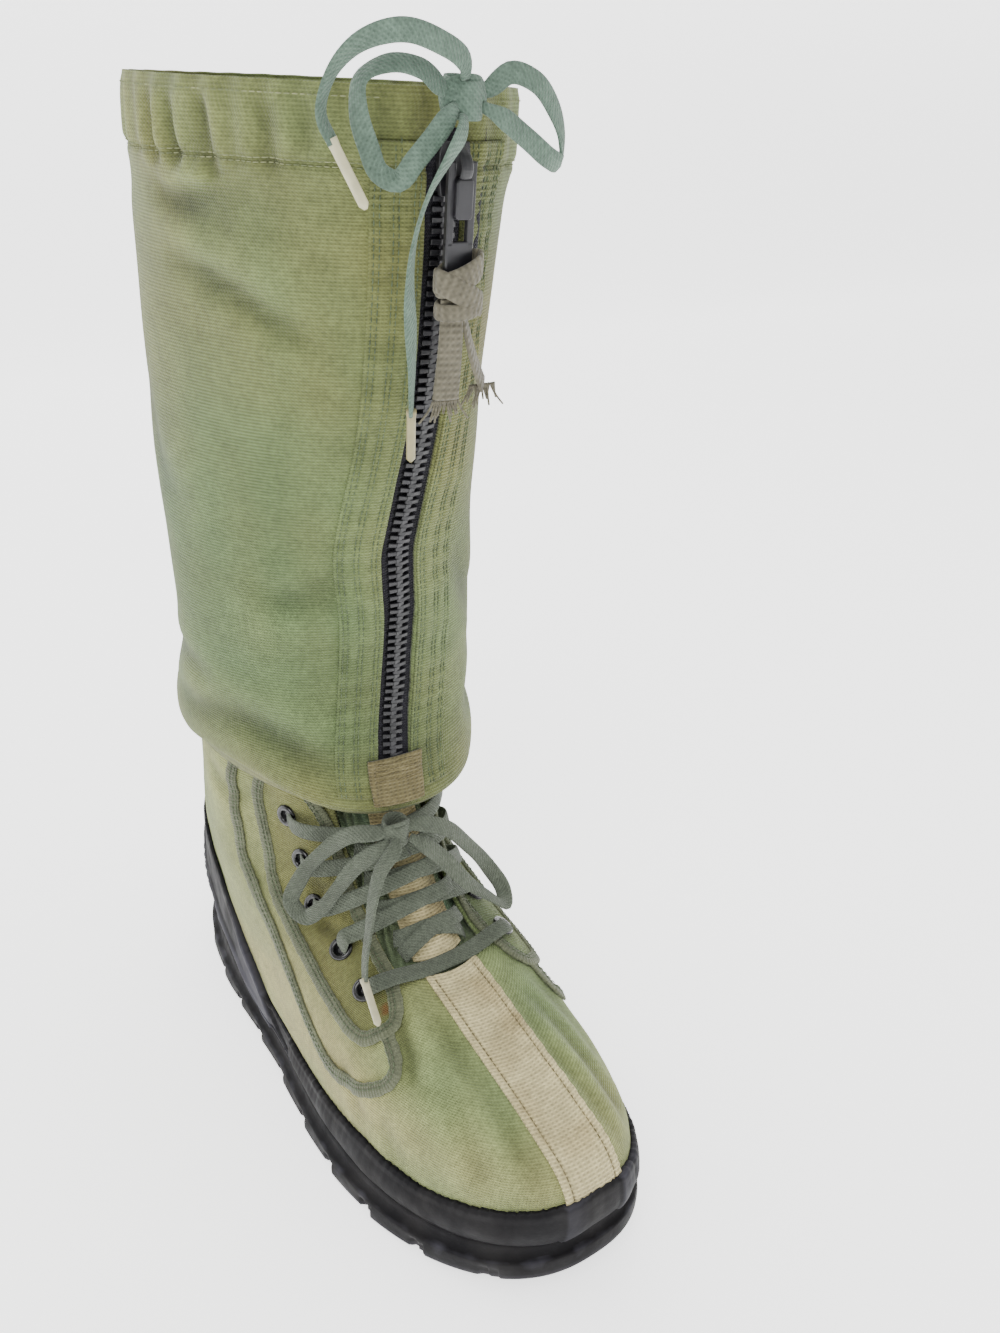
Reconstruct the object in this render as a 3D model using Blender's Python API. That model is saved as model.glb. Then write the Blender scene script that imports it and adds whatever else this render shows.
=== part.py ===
"""Cold-weather canvas boot for the right foot: rubber sole and rand, laced foot, tall zipped shaft.

Metres, +Z up. The toe points to -Y, the outer side of the foot is at -X, and the boot stands on
z = 0 with its box centred over the origin.
"""

import math

import bmesh
import bpy
import numpy as np
from mathutils import Matrix, Vector

MM = 0.001

# Whole boot
FOOT_LENGTH = 314 * MM
BALL_WIDTH = 117 * MM
ANKLE_HEIGHT = 176 * MM
BOOT_HEIGHT = 430 * MM
SHAFT_WIDTH = 124 * MM
CLEARANCE = 0.5 * MM
SEAT = 0.9 * MM

# Sole
SOLE_THICK = 18 * MM
SOLE_EDGE = 7.5 * MM
GROOVE_DEPTH = 6 * MM
GROOVE_WIDTH = 7 * MM
GROOVE_PITCH = 29 * MM
TOE_LUG = 15 * MM
ARCH_RISE = 4 * MM
TOE_SPRING = 10 * MM
SPRING_RUN = 75 * MM
INSOLE_THICK = 5 * MM

# Rubber rand round the foot
RAND_FOOT_THICK = 5.0 * MM
RAND_TOP_THICK = 2.0 * MM

# Canvas
CANVAS = 2.0 * MM
TONGUE_THICK = 3.0 * MM
TONGUE_LAP = 14 * MM
TONGUE_CROWN = 3.8 * MM
PANEL = 1.2 * MM
PANEL_SEAT = 1.3 * MM
BINDING_WIDTH = 6.5 * MM
STRIP_WIDTH = 27 * MM
STRIP_THICK = 1.2 * MM
STRIP_SEAT = 1.3 * MM

# Eyelets and laces
EYELET_OUTER = 10.5 * MM
EYELET_BORE = 5.2 * MM
EYELET_THICK = 1.6 * MM
LACE_WIDTH = 7.5 * MM
LACE_THICK = 1.4 * MM
LACE_KNOT = 14 * MM

# Zip, from the tape inside the slit to the tape tied to its pull
ZIP_SLIT = 15 * MM
ZIP_TAPE_LAP = 8 * MM
ZIP_TAPE_THICK = 1.0 * MM
CHAIN_WIDTH = 9.5 * MM
CHAIN_THICK = 2.6 * MM
FACING_WIDTH = 18 * MM
FACING_THICK = 0.8 * MM
PATCH_WIDTH = 23 * MM
PATCH_THICK = 1.2 * MM
SLIDER_LENGTH = 16 * MM
SLIDER_WIDTH = 11.5 * MM
SLIDER_THICK = 4.5 * MM
TAB_LENGTH = 42 * MM
TAB_WIDTH = 10.5 * MM
TAB_THICK = 2.6 * MM

# Drawstring of the hem
CORD_WIDTH = 8.5 * MM
CORD_THICK = 1.4 * MM
CORD_KNOT = 15 * MM
AGLET_LENGTH = 19 * MM
AGLET_WIDTH = 3.2 * MM

# Label inside the collar
LABEL_THICK = 0.8 * MM

# The foot of the upper, a row for each ring from the sole to the ankle.
# front, back: reach of the ring, as shares of half the foot's length.
# front_z, back_z: its height there, as shares of the ankle's height.
# ball, waist, heel: half widths, as shares of half the ball's width.
# blunt: exponent of the ring's ends, 2 for an ellipse and more for a blunter toe.
FORM_COLUMNS = ("front", "back", "front_z", "back_z", "ball", "waist", "heel", "blunt")
FOOT_RINGS = [
    (-0.965, 0.975, SOLE_THICK / ANKLE_HEIGHT, SOLE_THICK / ANKLE_HEIGHT, 0.950, 0.79, 0.76, 2.55),
    (-0.995, 1.000, 0.155, 0.193, 0.990, 0.86, 0.82, 2.55),
    (-1.000, 1.000, 0.215, 0.295, 0.990, 0.88, 0.86, 2.50),
    (-0.950, 0.995, 0.285, 0.398, 0.950, 0.88, 0.88, 2.45),
    (-0.830, 0.980, 0.355, 0.489, 0.890, 0.90, 0.89, 2.40),
    (-0.668, 0.955, 0.418, 0.580, 0.820, 0.91, 0.90, 2.35),
    (-0.497, 0.930, 0.470, 0.660, 0.750, 0.92, 0.90, 2.30),
    (-0.331, 0.898, 0.523, 0.727, 0.700, 0.92, 0.90, 2.20),
    (-0.236, 0.866, 0.614, 0.795, 0.690, 0.92, 0.90, 2.15),
    (-0.159, 0.834, 0.739, 0.864, 0.710, 0.91, 0.90, 2.10),
    (-0.108, 0.803, 0.852, 0.926, 0.740, 0.90, 0.89, 2.10),
    (-0.076, 0.764, 1.000, 1.000, 0.750, 0.88, 0.88, 2.10),
]

# The shaft above the foot. Heights are shares of the boot's height, half widths are shares of half
# the shaft's, and reaches are shares of half the foot's length.
LIP_LEVEL = 0.97
SHAFT_RINGS = [
    (-0.155, 0.840, 0.352, 0.395, 0.93, 0.95, 0.94, 2.2),
    (-0.170, 0.850, 0.363, 0.403, 0.97, 1.00, 0.98, 2.2),
    (-0.145, 0.815, 0.400, 0.425, 0.98, 1.02, 1.00, 2.2),
    (-0.105, 0.715, 0.465, 0.468, 0.98, 1.02, 1.00, 2.2),
    (-0.115, 0.655, 0.550, 0.550, 1.00, 1.04, 1.02, 2.1),
    (-0.160, 0.740, 0.650, 0.650, 0.99, 1.03, 1.02, 2.1),
    (-0.240, 0.830, 0.770, 0.770, 0.95, 0.99, 0.98, 2.1),
    (-0.310, 0.825, 0.885, 0.890, 0.93, 0.97, 0.96, 2.1),
    (-0.325, 0.790, 0.920, 0.930, 0.93, 0.97, 0.96, 2.1),
    (-0.340, 0.770, 0.947, 0.960, 0.96, 1.00, 0.98, 2.1),
    (-0.345, 0.740, 1.000, 1.015, 0.97, 1.00, 0.98, 2.1),
]
SHAFT_TURN = 5 * MM
LABEL_PLACE = -0.86

# Where along a ring the three half widths hold, from the heel at 0 to the toe at 1.
HEEL_STOP, WAIST_STOP, BALL_STOP = 0.2, 0.47, 0.74

# The throat: level on the foot, half gap in millimetres. It opens at its first row.
THROAT = [(0.60, 26), (0.75, 28), (1.00, 29)]
TONGUE_LEVELS = (0.56, 0.60, 0.64, 0.68, 0.72, 0.77, 0.84, 0.92, 1.0)
TOE_STRIP_LEVELS = (0.19, 0.59)
TONGUE_STRIP_LEVELS = (0.63, 0.95)
CROWN_LEVELS = (0.60, 1.0)

# The eyelet panel: level, its edges' distance from the throat's centre line in millimetres.
EYESTAY_COLUMNS = ("level", "near", "far")
EYESTAY = [
    (0.40, 84, 98), (0.43, 68, 106), (0.47, 52, 108), (0.52, 40, 108), (0.58, 33, 104),
    (0.61, 32, 100), (0.64, 31, 96), (0.68, 31, 91.5), (0.72, 31.5, 87), (0.80, 32, 79),
    (0.87, 33, 73), (0.92, 39, 66), (0.945, 47, 59),
]

# The outer binding: distance from the centre line in millimetres, level.
BINDING = [
    (68, 0.935), (78, 0.915), (86, 0.84), (94, 0.75), (107, 0.64), (122, 0.53), (134, 0.43),
    (143, 0.33), (143, 0.25), (130, 0.235), (108, 0.275), (88, 0.325), (70, 0.385), (57, 0.43),
]

# Eyelets from the lowest up: distance from the centre line, level, and how far it stands off the
# panel, which is more on the hollow of the instep. Distances are in millimetres.
EYELETS = [(58, 0.515, 0.9), (60, 0.575, 0.8), (62, 0.65, 1.7), (57, 0.755, 0.9), (56, 0.845, 0.9)]

# Top edge of the rubber: share of the half ring from the toe to the heel, level on the foot.
RAND_TOP = [
    (0.00, 0.175), (0.08, 0.160), (0.20, 0.130), (0.30, 0.135), (0.42, 0.105), (0.52, 0.085),
    (0.575, 0.085), (0.605, 0.150), (0.65, 0.210), (0.71, 0.310), (0.80, 0.375), (0.90, 0.400),
    (1.00, 0.400),
]

# Laces: where a ribbon starts, its level over the middle of the tongue and where it ends, with
# distances from the centre line in millimetres. A crossing has a second ribbon, its mirror image.
LACE_COLUMNS = ("start", "start_level", "middle_level", "end", "end_level")
LACE_BARS = {"lace_bar_low": (57, 0.516, 0.618, 57, 0.516), "lace_bar_top": (56, 0.84, 0.868, 56, 0.84)}
LACE_CROSSES = [
    (18, 0.635, 0.685, 18, 0.668), (59, 0.577, 0.740, 22, 0.725), (61, 0.652, 0.785, 22, 0.775),
    (56, 0.755, 0.825, 23, 0.825),
]

# The zip's line: level on the shaft, its shift from the centre line in millimetres.
ZIP_LINE = [(0.18, -7), (0.26, -6), (0.36, -1), (0.45, 0), (0.51, -3), (0.60, 2), (0.75, 1), (1.0, 0)]
ZIP_LEVELS = (0.25, 0.955)
PATCH_LEVELS = (0.165, 0.27)
FACING_LEVELS = (0.19, 0.94)
SLIDER_LEVEL = 0.905

# Routes of the free laces and drawstring, in millimetres, from the knot outwards.
LACE_KNOT_AT = (-9, -31.5, 148)
LACE_ROUTES = {
    "lace_loop_lateral": [
        (-16.2, -33, 150), (-27, -26, 149), (-37, -18, 139), (-45, -10, 123), (-49, -9, 112),
        (-46, -15, 107), (-41, -21, 113), (-35, -26, 124), (-27, -31, 137), (-17.2, -35, 145),
    ],
    "lace_loop_medial": [
        (-2.2, -35, 150), (10, -37, 146), (25, -36, 130), (36, -37, 114), (40, -43, 104),
        (36, -50, 102), (28, -49, 109), (18, -46, 119), (8, -42, 133), (-2.2, -39, 144),
    ],
    "lace_end_lateral": [
        (-13, -38.8, 146), (-22, -41, 137), (-27, -43, 126), (-31, -46, 114), (-36, -51, 103), (-39, -56, 97),
    ],
}
CORD_KNOT_AT = (2, -65, 427)
CORD_ROUTES = {
    "cord_loop_lateral": [
        (-5.5, -66.5, 429), (-15, -69, 434), (-25, -68, 435), (-32, -64, 431), (-32, -62, 423),
        (-29, -62, 413), (-26, -63, 406), (-22, -66, 404), (-17, -69, 410), (-12, -71, 416),
        (-5, -70, 423),
    ],
    "cord_loop_medial": [
        (9.6, -66.3, 429), (17, -69, 434), (25, -70, 432), (34, -68, 425), (41, -64, 416),
        (40, -65, 409), (33, -69, 410), (22, -71, 416), (9.5, -71, 423),
    ],
    "cord_end_lateral": [
        (-1, -71.5, 434.5), (-14, -76, 441), (-25, -76, 443), (-37, -71, 439), (-43, -65, 430),
        (-44, -62, 421), (-41, -63, 414),
    ],
    "cord_end_medial": [
        (-2.5, -72.5, 419), (-9, -75, 411), (-14, -71, 400), (-17, -67, 386), (-17, -64, 372),
        (-15, -61, 359), (-13, -58, 346), (-11, -54, 336), (-10, -52, 330),
    ],
}
AGLETS = {
    "lace_aglet_lateral": ("lace_end_lateral", (-42, -71, 90)),
    "cord_aglet_lateral": ("cord_end_lateral", (-34, -67, 398)),
    "cord_aglet_medial": ("cord_end_medial", (-7, -46, 311)),
}

# Pull tape below the zip's tab: height down from the knot's top, sideways lean, half width and
# thickness, all in millimetres. Its two tails part at TAIL_ROW.
PULL_TAPE_COLUMNS = ("down", "lean", "half", "thick")
PULL_TAPE = [
    (0, 0, 6, 5), (4, 0, 10, 9), (12, 0, 11, 10), (20, 0, 10, 9), (25, 1, 7, 5), (32, 2, 8, 3.5),
    (44, 4, 9, 3), (54, 6, 11, 3), (60, 8, 12, 3),
]
TAIL_ROW = 5

# Side of the sole: share of its thickness, how far it stands out from the rubber's foot, in
# shares of the sole's edge.
SOLE_SIDE = [(0.00, 0.80), (0.25, 1.00), (0.55, 0.95), (0.62, 0.60), (0.85, 0.55), (1.00, 0.20)]

COLUMNS = 34
RAND_ROWS = 7
FOOT_LEVELS = (0.0, 0.09, 0.18, 0.27, 0.36, 0.44, 0.52, 0.60, 0.67, 0.74, 0.82, 0.90, 1.0)
SHAFT_LEVELS = (0.0, 0.05, 0.1, 0.15, 0.21, 0.28, 0.36, 0.45, 0.54, 0.63, 0.70, 0.76, 0.82, 0.87, 0.93, 1.0)
SLIT_ROWS = (3, 14)
THROAT_BETWEEN = 2

COLOURS = {
    "canvas": ((0.30, 0.36, 0.19, 1), 0.9),
    "rubber": ((0.03, 0.03, 0.035, 1), 0.5),
    "webbing": ((0.48, 0.42, 0.26, 1), 0.9),
    "binding": ((0.30, 0.34, 0.26, 1), 0.85),
    "lace": ((0.16, 0.18, 0.13, 1), 0.8),
    "drawstring": ((0.27, 0.38, 0.29, 1), 0.8),
    "aglet": ((0.68, 0.64, 0.48, 1), 0.5),
    "eyelet_metal": ((0.02, 0.02, 0.02, 1), 0.3),
    "zip_plastic": ((0.03, 0.03, 0.035, 1), 0.4),
    "zip_tape": ((0.03, 0.03, 0.03, 1), 0.8),
    "cotton_tape": ((0.33, 0.31, 0.26, 1), 0.9),
    "felt": ((0.5, 0.5, 0.46, 1), 0.95),
}


def smooth(stops, values, at):
    """Values at places between stops, on a cubic through them with Catmull-Rom slopes."""
    stops, values = np.asarray(stops, float), np.asarray(values, float)
    slopes = np.gradient(values, stops, axis=0)
    at = np.clip(np.asarray(at, float), stops[0], stops[-1])
    i = np.clip(np.searchsorted(stops, at, side="right") - 1, 0, len(stops) - 2)
    step = stops[i + 1] - stops[i]
    t = (at - stops[i]) / step
    if values.ndim > 1:
        t, step = t[..., None], step[..., None]
    start = (2 * t**3 - 3 * t**2 + 1) * values[i] + (t**3 - 2 * t**2 + t) * step * slopes[i]
    end = (3 * t**2 - 2 * t**3) * values[i + 1] + (t**3 - t**2) * step * slopes[i + 1]
    return start + end


def table(rows, at):
    """The second column of a table, read against its first on straight lines."""
    rows = np.array(rows, float)
    return np.interp(at, rows[:, 0], rows[:, 1])


def spring(y):
    """Rise of the sole and foot towards the toe."""
    run = np.clip((SPRING_RUN - FOOT_LENGTH / 2 - y) / SPRING_RUN, 0, 1.2)
    return TOE_SPRING * run**2


def bend(side, y):
    """Sideways curve of the right foot: the toe leans inwards and the inner waist is hollow."""
    toeward = np.clip(-y / (FOOT_LENGTH / 2), 0, 1)
    hollow = np.exp(-(((y - 0.06 * FOOT_LENGTH) / (0.16 * FOOT_LENGTH)) ** 2))
    return 0.045 * BALL_WIDTH * toeward**1.5 - 0.035 * BALL_WIDTH * hollow * (side > 0)


def turn(side, y):
    """Sideways turn of the slack shaft, which carries the zip a little inwards."""
    return SHAFT_TURN * np.clip(0.5 - y / (FOOT_LENGTH / 2), 0, 1)


class Form:
    """A surface of stacked rings. u runs from the heel (-1) along the outer side to the front (0)
    and along the inner side back to the heel (1), as a share of arc. v runs up the rings."""

    LEVELS, SHARES, AROUND = 121, 161, 361

    def __init__(self, rows, curve):
        at = np.linspace(0, 1, self.LEVELS)
        stops = np.linspace(0, 1, len(rows))
        col = dict(zip(FORM_COLUMNS, smooth(stops, rows, at)[..., None].transpose(1, 0, 2)))
        angle = np.linspace(0, math.pi, self.AROUND)[None, :]
        power = 2 / col["blunt"]
        along = np.sign(np.cos(angle)) * np.abs(np.cos(angle)) ** power
        toeward = (1 + along) / 2
        halves = np.concatenate([col["heel"], col["heel"], col["waist"], col["ball"], col["ball"]], 1)
        widths = [smooth((0, HEEL_STOP, WAIST_STOP, BALL_STOP, 1), h, t) for h, t in zip(halves, toeward)]
        y = col["back"] + (col["front"] - col["back"]) * toeward
        z = col["back_z"] + (col["front_z"] - col["back_z"]) * toeward
        x = np.stack(widths) * np.sin(angle) ** power
        share = np.linspace(0, 1, self.SHARES)
        self.arc, halves = {}, {}
        for side in (-1, 1):
            ring = np.stack([side * x + curve(side, y), y, z], -1)
            steps = np.linalg.norm(np.diff(ring, axis=1), axis=2)
            arc = np.concatenate([np.zeros((self.LEVELS, 1)), np.cumsum(steps, 1)], 1)
            even = [[np.interp(share * a[-1], a, r[:, k]) for k in range(3)] for a, r in zip(arc, ring)]
            halves[side] = np.array(even).transpose(0, 2, 1)
            self.arc[side] = arc[:, -1]
        self.grid = np.concatenate([halves[-1][:, :0:-1], halves[1]], 1)

    def point(self, u, v):
        """Points of the surface, read from its dense grid on straight lines."""
        u = (np.asarray(u, float) + 1) % 2
        i = np.clip(np.asarray(v, float), 0, 1) * (self.grid.shape[0] - 1)
        j = u / 2 * (self.grid.shape[1] - 1)
        i, j = np.broadcast_arrays(i, j)
        i0 = np.clip(i.astype(int), 0, self.grid.shape[0] - 2)
        j0 = np.clip(j.astype(int), 0, self.grid.shape[1] - 2)
        a, b = (i - i0)[..., None], (j - j0)[..., None]
        low = self.grid[i0, j0] * (1 - b) + self.grid[i0, j0 + 1] * b
        high = self.grid[i0 + 1, j0] * (1 - b) + self.grid[i0 + 1, j0 + 1] * b
        return low * (1 - a) + high * a

    def offset(self, u, v, out, step=0.015):
        """Points at a distance out from the surface, along its normal."""
        u, v = np.broadcast_arrays(np.asarray(u, float), np.asarray(v, float))
        along = self.point(u + step, v) - self.point(u - step, v)
        up = self.point(u, v + step) - self.point(u, v - step)
        normal = np.cross(along, up)
        normal = normal / np.linalg.norm(normal, axis=-1, keepdims=True)
        return self.point(u, v) + normal * np.asarray(out, float)[..., None]

    def share(self, arc, v):
        """The u of a signed distance along the ring from the front, at a level."""
        at = np.linspace(0, 1, self.LEVELS)
        outer, inner = np.interp(v, at, self.arc[-1]), np.interp(v, at, self.arc[1])
        return np.asarray(arc) / np.where(np.asarray(arc) < 0, outer, inner)


def foot_form():
    """The last's surface, from the sole to the ankle."""
    size = (FOOT_LENGTH / 2, FOOT_LENGTH / 2, ANKLE_HEIGHT, ANKLE_HEIGHT) + (BALL_WIDTH / 2,) * 3 + (1,)
    form = Form(np.array(FOOT_RINGS) * size, bend)
    low = np.clip(1.6 - form.grid[..., 2] / (0.35 * ANKLE_HEIGHT), 0, 1)
    form.grid[..., 2] += spring(form.grid[..., 1]) * low
    return form


def shaft_form(foot):
    """The shaft's surface, from the lip that hugs the ankle to the hem."""
    size = (FOOT_LENGTH / 2, FOOT_LENGTH / 2, BOOT_HEIGHT, BOOT_HEIGHT) + (SHAFT_WIDTH / 2,) * 3 + (1,)
    form = Form(np.array(SHAFT_RINGS) * size, turn)
    share = np.linspace(-1, 1, form.grid.shape[1])
    lip = foot.offset(share, LIP_LEVEL, 2 * CLEARANCE)
    rows = np.linspace(0, 1, 9)[:-1, None, None]
    tuck = lip + (form.grid[0] - lip) * rows
    form.grid = np.concatenate([tuck, form.grid])
    levels = len(form.grid)
    for side in (-1, 1):
        form.arc[side] = np.interp(np.linspace(-8, 120, levels), np.arange(121), form.arc[side])
    form.LEVELS = levels
    return form


def grid_cells(rows, cols, wrap=False, skip=lambda i, j: False):
    """Cells of a grid of points, counter-clockwise from outside."""
    last = cols if wrap else cols - 1
    cells = []
    for i in range(rows - 1):
        for j in range(last):
            k = (j + 1) % cols
            if not skip(i, j):
                cells.append((i * cols + j, i * cols + k, (i + 1) * cols + k, (i + 1) * cols + j))
    return cells


def add_object(name, points, faces, colour):
    """A new object from points and faces, with its faces turned outwards."""
    mesh = bpy.data.meshes.new(name)
    bm = bmesh.new()
    verts = [bm.verts.new(p) for p in np.asarray(points, float)]
    for face in faces:
        bm.faces.new([verts[k] for k in face])
    bmesh.ops.delete(bm, geom=[v for v in bm.verts if not v.link_faces], context="VERTS")
    if bm.calc_volume(signed=True) < 0:
        bmesh.ops.reverse_faces(bm, faces=bm.faces)
    bm.to_mesh(mesh)
    bm.free()
    mesh.shade_smooth()
    mesh.set_sharp_from_angle(angle=math.radians(40))
    obj = bpy.data.objects.new(name, mesh)
    bpy.context.scene.collection.objects.link(obj)
    mesh.materials.append(material(colour))
    return obj


def material(colour):
    """The Principled material of a colour in the table, made once."""
    if colour in bpy.data.materials:
        return bpy.data.materials[colour]
    base, roughness = COLOURS[colour]
    mat = bpy.data.materials.new(colour)
    mat.use_nodes = True
    shader = mat.node_tree.nodes["Principled BSDF"]
    shader.inputs["Base Color"].default_value = base
    shader.inputs["Roughness"].default_value = roughness
    return mat


def shell(name, outer, inner, cells, colour):
    """A closed wall: outer cells, the same cells inside, and a rim round every open edge."""
    count = len(outer)
    edges = {}
    for cell in cells:
        for a, b in zip(cell, cell[1:] + cell[:1]):
            edges[(a, b)] = edges.get((a, b), 0) + 1
    faces = list(cells) + [tuple(k + count for k in cell[::-1]) for cell in cells]
    for a, b in edges:
        if (b, a) not in edges:
            faces.append((b, a, a + count, b + count))
    return add_object(name, np.concatenate([outer, inner]), faces, colour)


def ring_shares(form, v, half_gap, shift=0.0, between=0):
    """The u of each column at a level, from the front by the inner side to the heel and back. The
    first columns and the last lie within half_gap of the line that shift moves sideways; the rest
    are closer together at the toe and heel."""
    t = np.linspace(0, 1, COLUMNS // 2)
    t = t - 0.09 * np.sin(2 * np.pi * t)
    inner = form.share(shift + half_gap, v)
    outer = form.share(shift - half_gap, v)
    near = form.share(shift + half_gap * np.arange(between + 1) / (between + 1), v)
    far = form.share(shift - half_gap * np.arange(between, 0, -1) / (between + 1), v)
    return np.concatenate([near, inner + (1 - inner) * t, (-1 + (outer + 1) * t)[1:], far])


def foot_ring(foot, v):
    """Columns of one ring of the foot, with the throat's middle between them."""
    return ring_shares(foot, v, table(THROAT, v) * MM, 0.0, THROAT_BETWEEN)


def build_upper(foot):
    """Canvas foot, one wall open at the ankle, the throat and underneath."""
    levels = FOOT_LEVELS
    u = np.stack([foot_ring(foot, level) for level in levels])
    v = np.repeat(np.array(levels)[:, None], u.shape[1], 1)
    rows, cols = u.shape
    outer = foot.offset(u, v, 0 * u)
    inner = foot.offset(u, v, 0 * u - CANVAS)
    inner[0, :, 2] = outer[0, :, 2]
    open_from = levels.index(min(v for v in levels if v >= THROAT[0][0]))
    half = THROAT_BETWEEN + 1
    cells = grid_cells(rows, cols, True, lambda i, j: not half <= j < cols - half and i >= open_from)
    return shell("upper", outer.reshape(-1, 3), inner.reshape(-1, 3), cells, "canvas")


def rand_level(u):
    """Level of the rubber's top edge, at a share of the ring."""
    return table(RAND_TOP, np.abs(u))


def build_rand(foot):
    """Rubber band round the foot, thick at the sole and thin at its top edge."""
    base = foot_ring(foot, 0.0)
    rise = np.linspace(0, 1, RAND_ROWS)[:, None]
    v = rise * rand_level(base)[None, :]
    u = np.stack([[foot_ring(foot, level)[j] for j, level in enumerate(row)] for row in v])
    thick = RAND_FOOT_THICK + (RAND_TOP_THICK - RAND_FOOT_THICK) * np.clip(rise * 1.25, 0, 1) + 0 * v
    inner = foot.offset(u, v, CLEARANCE + 0 * v)
    outer = foot.offset(u, v, CLEARANCE + thick)
    outer[0, :, 2] = inner[0, :, 2] = foot.point(u[0], v[0])[:, 2]
    cells = grid_cells(*u.shape, True)
    return shell("rand", outer.reshape(-1, 3), inner.reshape(-1, 3), cells, "rubber")


def plan_offset(ring, out):
    """A closed ring moved out in plan."""
    ahead, behind = np.roll(ring, -1, 0), np.roll(ring, 1, 0)
    along = ahead - behind
    normal = np.stack([along[:, 1], -along[:, 0], 0 * along[:, 0]], 1)
    return ring + normal / np.linalg.norm(normal, axis=1, keepdims=True) * out


def ladder(count, start):
    """Faces that close a ring of points, where point k and point count - k face each other."""
    faces = []
    for k in range(count // 2):
        face = [k, k + 1, count - 1 - k, (count - k) % count]
        face = [start + p for p in dict.fromkeys(face)]
        faces.append(tuple(face))
    return faces


def sole_bottom(y):
    """Height of the tread: flat under heel and ball, raised at the arch and sprung at the toe."""
    arch = np.exp(-(((y - 0.10 * FOOT_LENGTH) / (0.11 * FOOT_LENGTH)) ** 4))
    return spring(y) + ARCH_RISE * arch


def build_outsole(foot):
    """Rubber sole: a stepped side round the foot's own outline, and lugs cut across the tread."""
    base = foot.point(foot_ring(foot, 0.0), 0.0)
    rings = []
    for height, out in SOLE_SIDE:
        ring = plan_offset(base, RAND_FOOT_THICK + CLEARANCE + out * SOLE_EDGE - SOLE_EDGE / 2)
        low = sole_bottom(ring[:, 1])
        high = base[:, 2] - CLEARANCE
        ring[:, 2] = low + (high - low) * height
        rings.append(ring)
    cols = len(base)
    faces = grid_cells(len(rings), cols, True)
    faces += [f[::-1] for f in ladder(cols, 0)]
    faces += ladder(cols, (len(rings) - 1) * cols)
    sole = add_object("outsole", np.concatenate(rings), faces, "rubber")
    join(sole, tread_grooves(), "DIFFERENCE")
    return sole


def tread_grooves():
    """Bars that cut the lugs: one across the sole at each groove, as deep as its tread."""
    points, faces = [], []
    box = [(0, 1, 3, 2), (4, 6, 7, 5), (0, 4, 5, 1), (2, 3, 7, 6), (0, 2, 6, 4), (1, 5, 7, 3)]
    for y in np.arange(TOE_LUG - FOOT_LENGTH / 2, FOOT_LENGTH / 2, GROOVE_PITCH):
        low, high = -GROOVE_DEPTH, sole_bottom(y) + GROOVE_DEPTH
        start = len(points)
        points += [
            (a * BALL_WIDTH, y + b * GROOVE_WIDTH / 2, z) for a in (-1, 1) for b in (-1, 1) for z in (low, high)
        ]
        faces += [tuple(start + k for k in face) for face in box]
    return add_object("tread_grooves", points, faces, "rubber")


def join(obj, tool, operation):
    """Join or cut a solid with another, which stays hidden."""
    tool.hide_render = True
    tool.display_type = "WIRE"
    change = obj.modifiers.new(operation.lower(), "BOOLEAN")
    change.operation = operation
    change.object = tool


def build_insole(foot):
    """Felt board that fills the bottom of the foot."""
    base = foot.point(foot_ring(foot, 0.0), 0.0)
    ring = plan_offset(base, -CANVAS - CLEARANCE)
    top = ring + (0, 0, INSOLE_THICK)
    cols = len(ring)
    faces = grid_cells(2, cols, True) + [f[::-1] for f in ladder(cols, 0)] + ladder(cols, cols)
    return add_object("insole", np.concatenate([ring, top]), faces, "felt")


def sheet(name, form, arcs, levels, inside, outside, colour):
    """A sheet laid over a form: rows of arc distances at levels, between two lifts."""
    arcs, levels = np.broadcast_arrays(np.asarray(arcs, float), np.asarray(levels, float))
    u = form.share(arcs, levels)
    rows, cols = u.shape
    inner = form.offset(u, levels, inside + 0 * u).reshape(-1, 3)
    outer = form.offset(u, levels, outside + 0 * u).reshape(-1, 3)
    return shell(name, outer, inner, grid_cells(rows, cols), colour)


def column(*values):
    """Values as a column, to spread over a row."""
    return np.array(values, float)[:, None]


def tongue_lift(arc, level):
    """How far the tongue's face lies from the foot's form: crowned between the throat's edges."""
    share = np.clip(np.abs(arc) / (table(THROAT, level) * MM), 0, 1)
    start, end = CROWN_LEVELS
    fade = np.clip((level - start) / 0.05, 0, 1) * np.clip((end - level) / 0.15, 0, 1)
    return TONGUE_CROWN * fade * np.cos(share * math.pi / 2) ** 2 - CANVAS - 3 * SEAT


def build_tongue(foot):
    """Padded tongue under the throat, with its centre webbing, and the webbing on the toe."""
    levels = column(*TONGUE_LEVELS)
    half = table(THROAT, levels) * MM + TONGUE_LAP
    across = np.linspace(-1, 1, 9)[None, :]
    out = tongue_lift(half * across, levels)
    sheet("tongue", foot, half * across, levels, out - TONGUE_THICK, out, "canvas")
    width = STRIP_WIDTH / 2 * np.linspace(-1, 1, 5)[None, :]
    levels = np.linspace(*TONGUE_STRIP_LEVELS, 10)[:, None]
    low = tongue_lift(width, levels) + STRIP_SEAT
    sheet("tongue_strip", foot, width + 0 * levels, levels, low, low + STRIP_THICK, "webbing")
    levels = np.linspace(*TOE_STRIP_LEVELS, 13)[:, None]
    sheet("toe_strip", foot, width + 0 * levels, levels, SEAT, SEAT + STRIP_THICK, "webbing")


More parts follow.
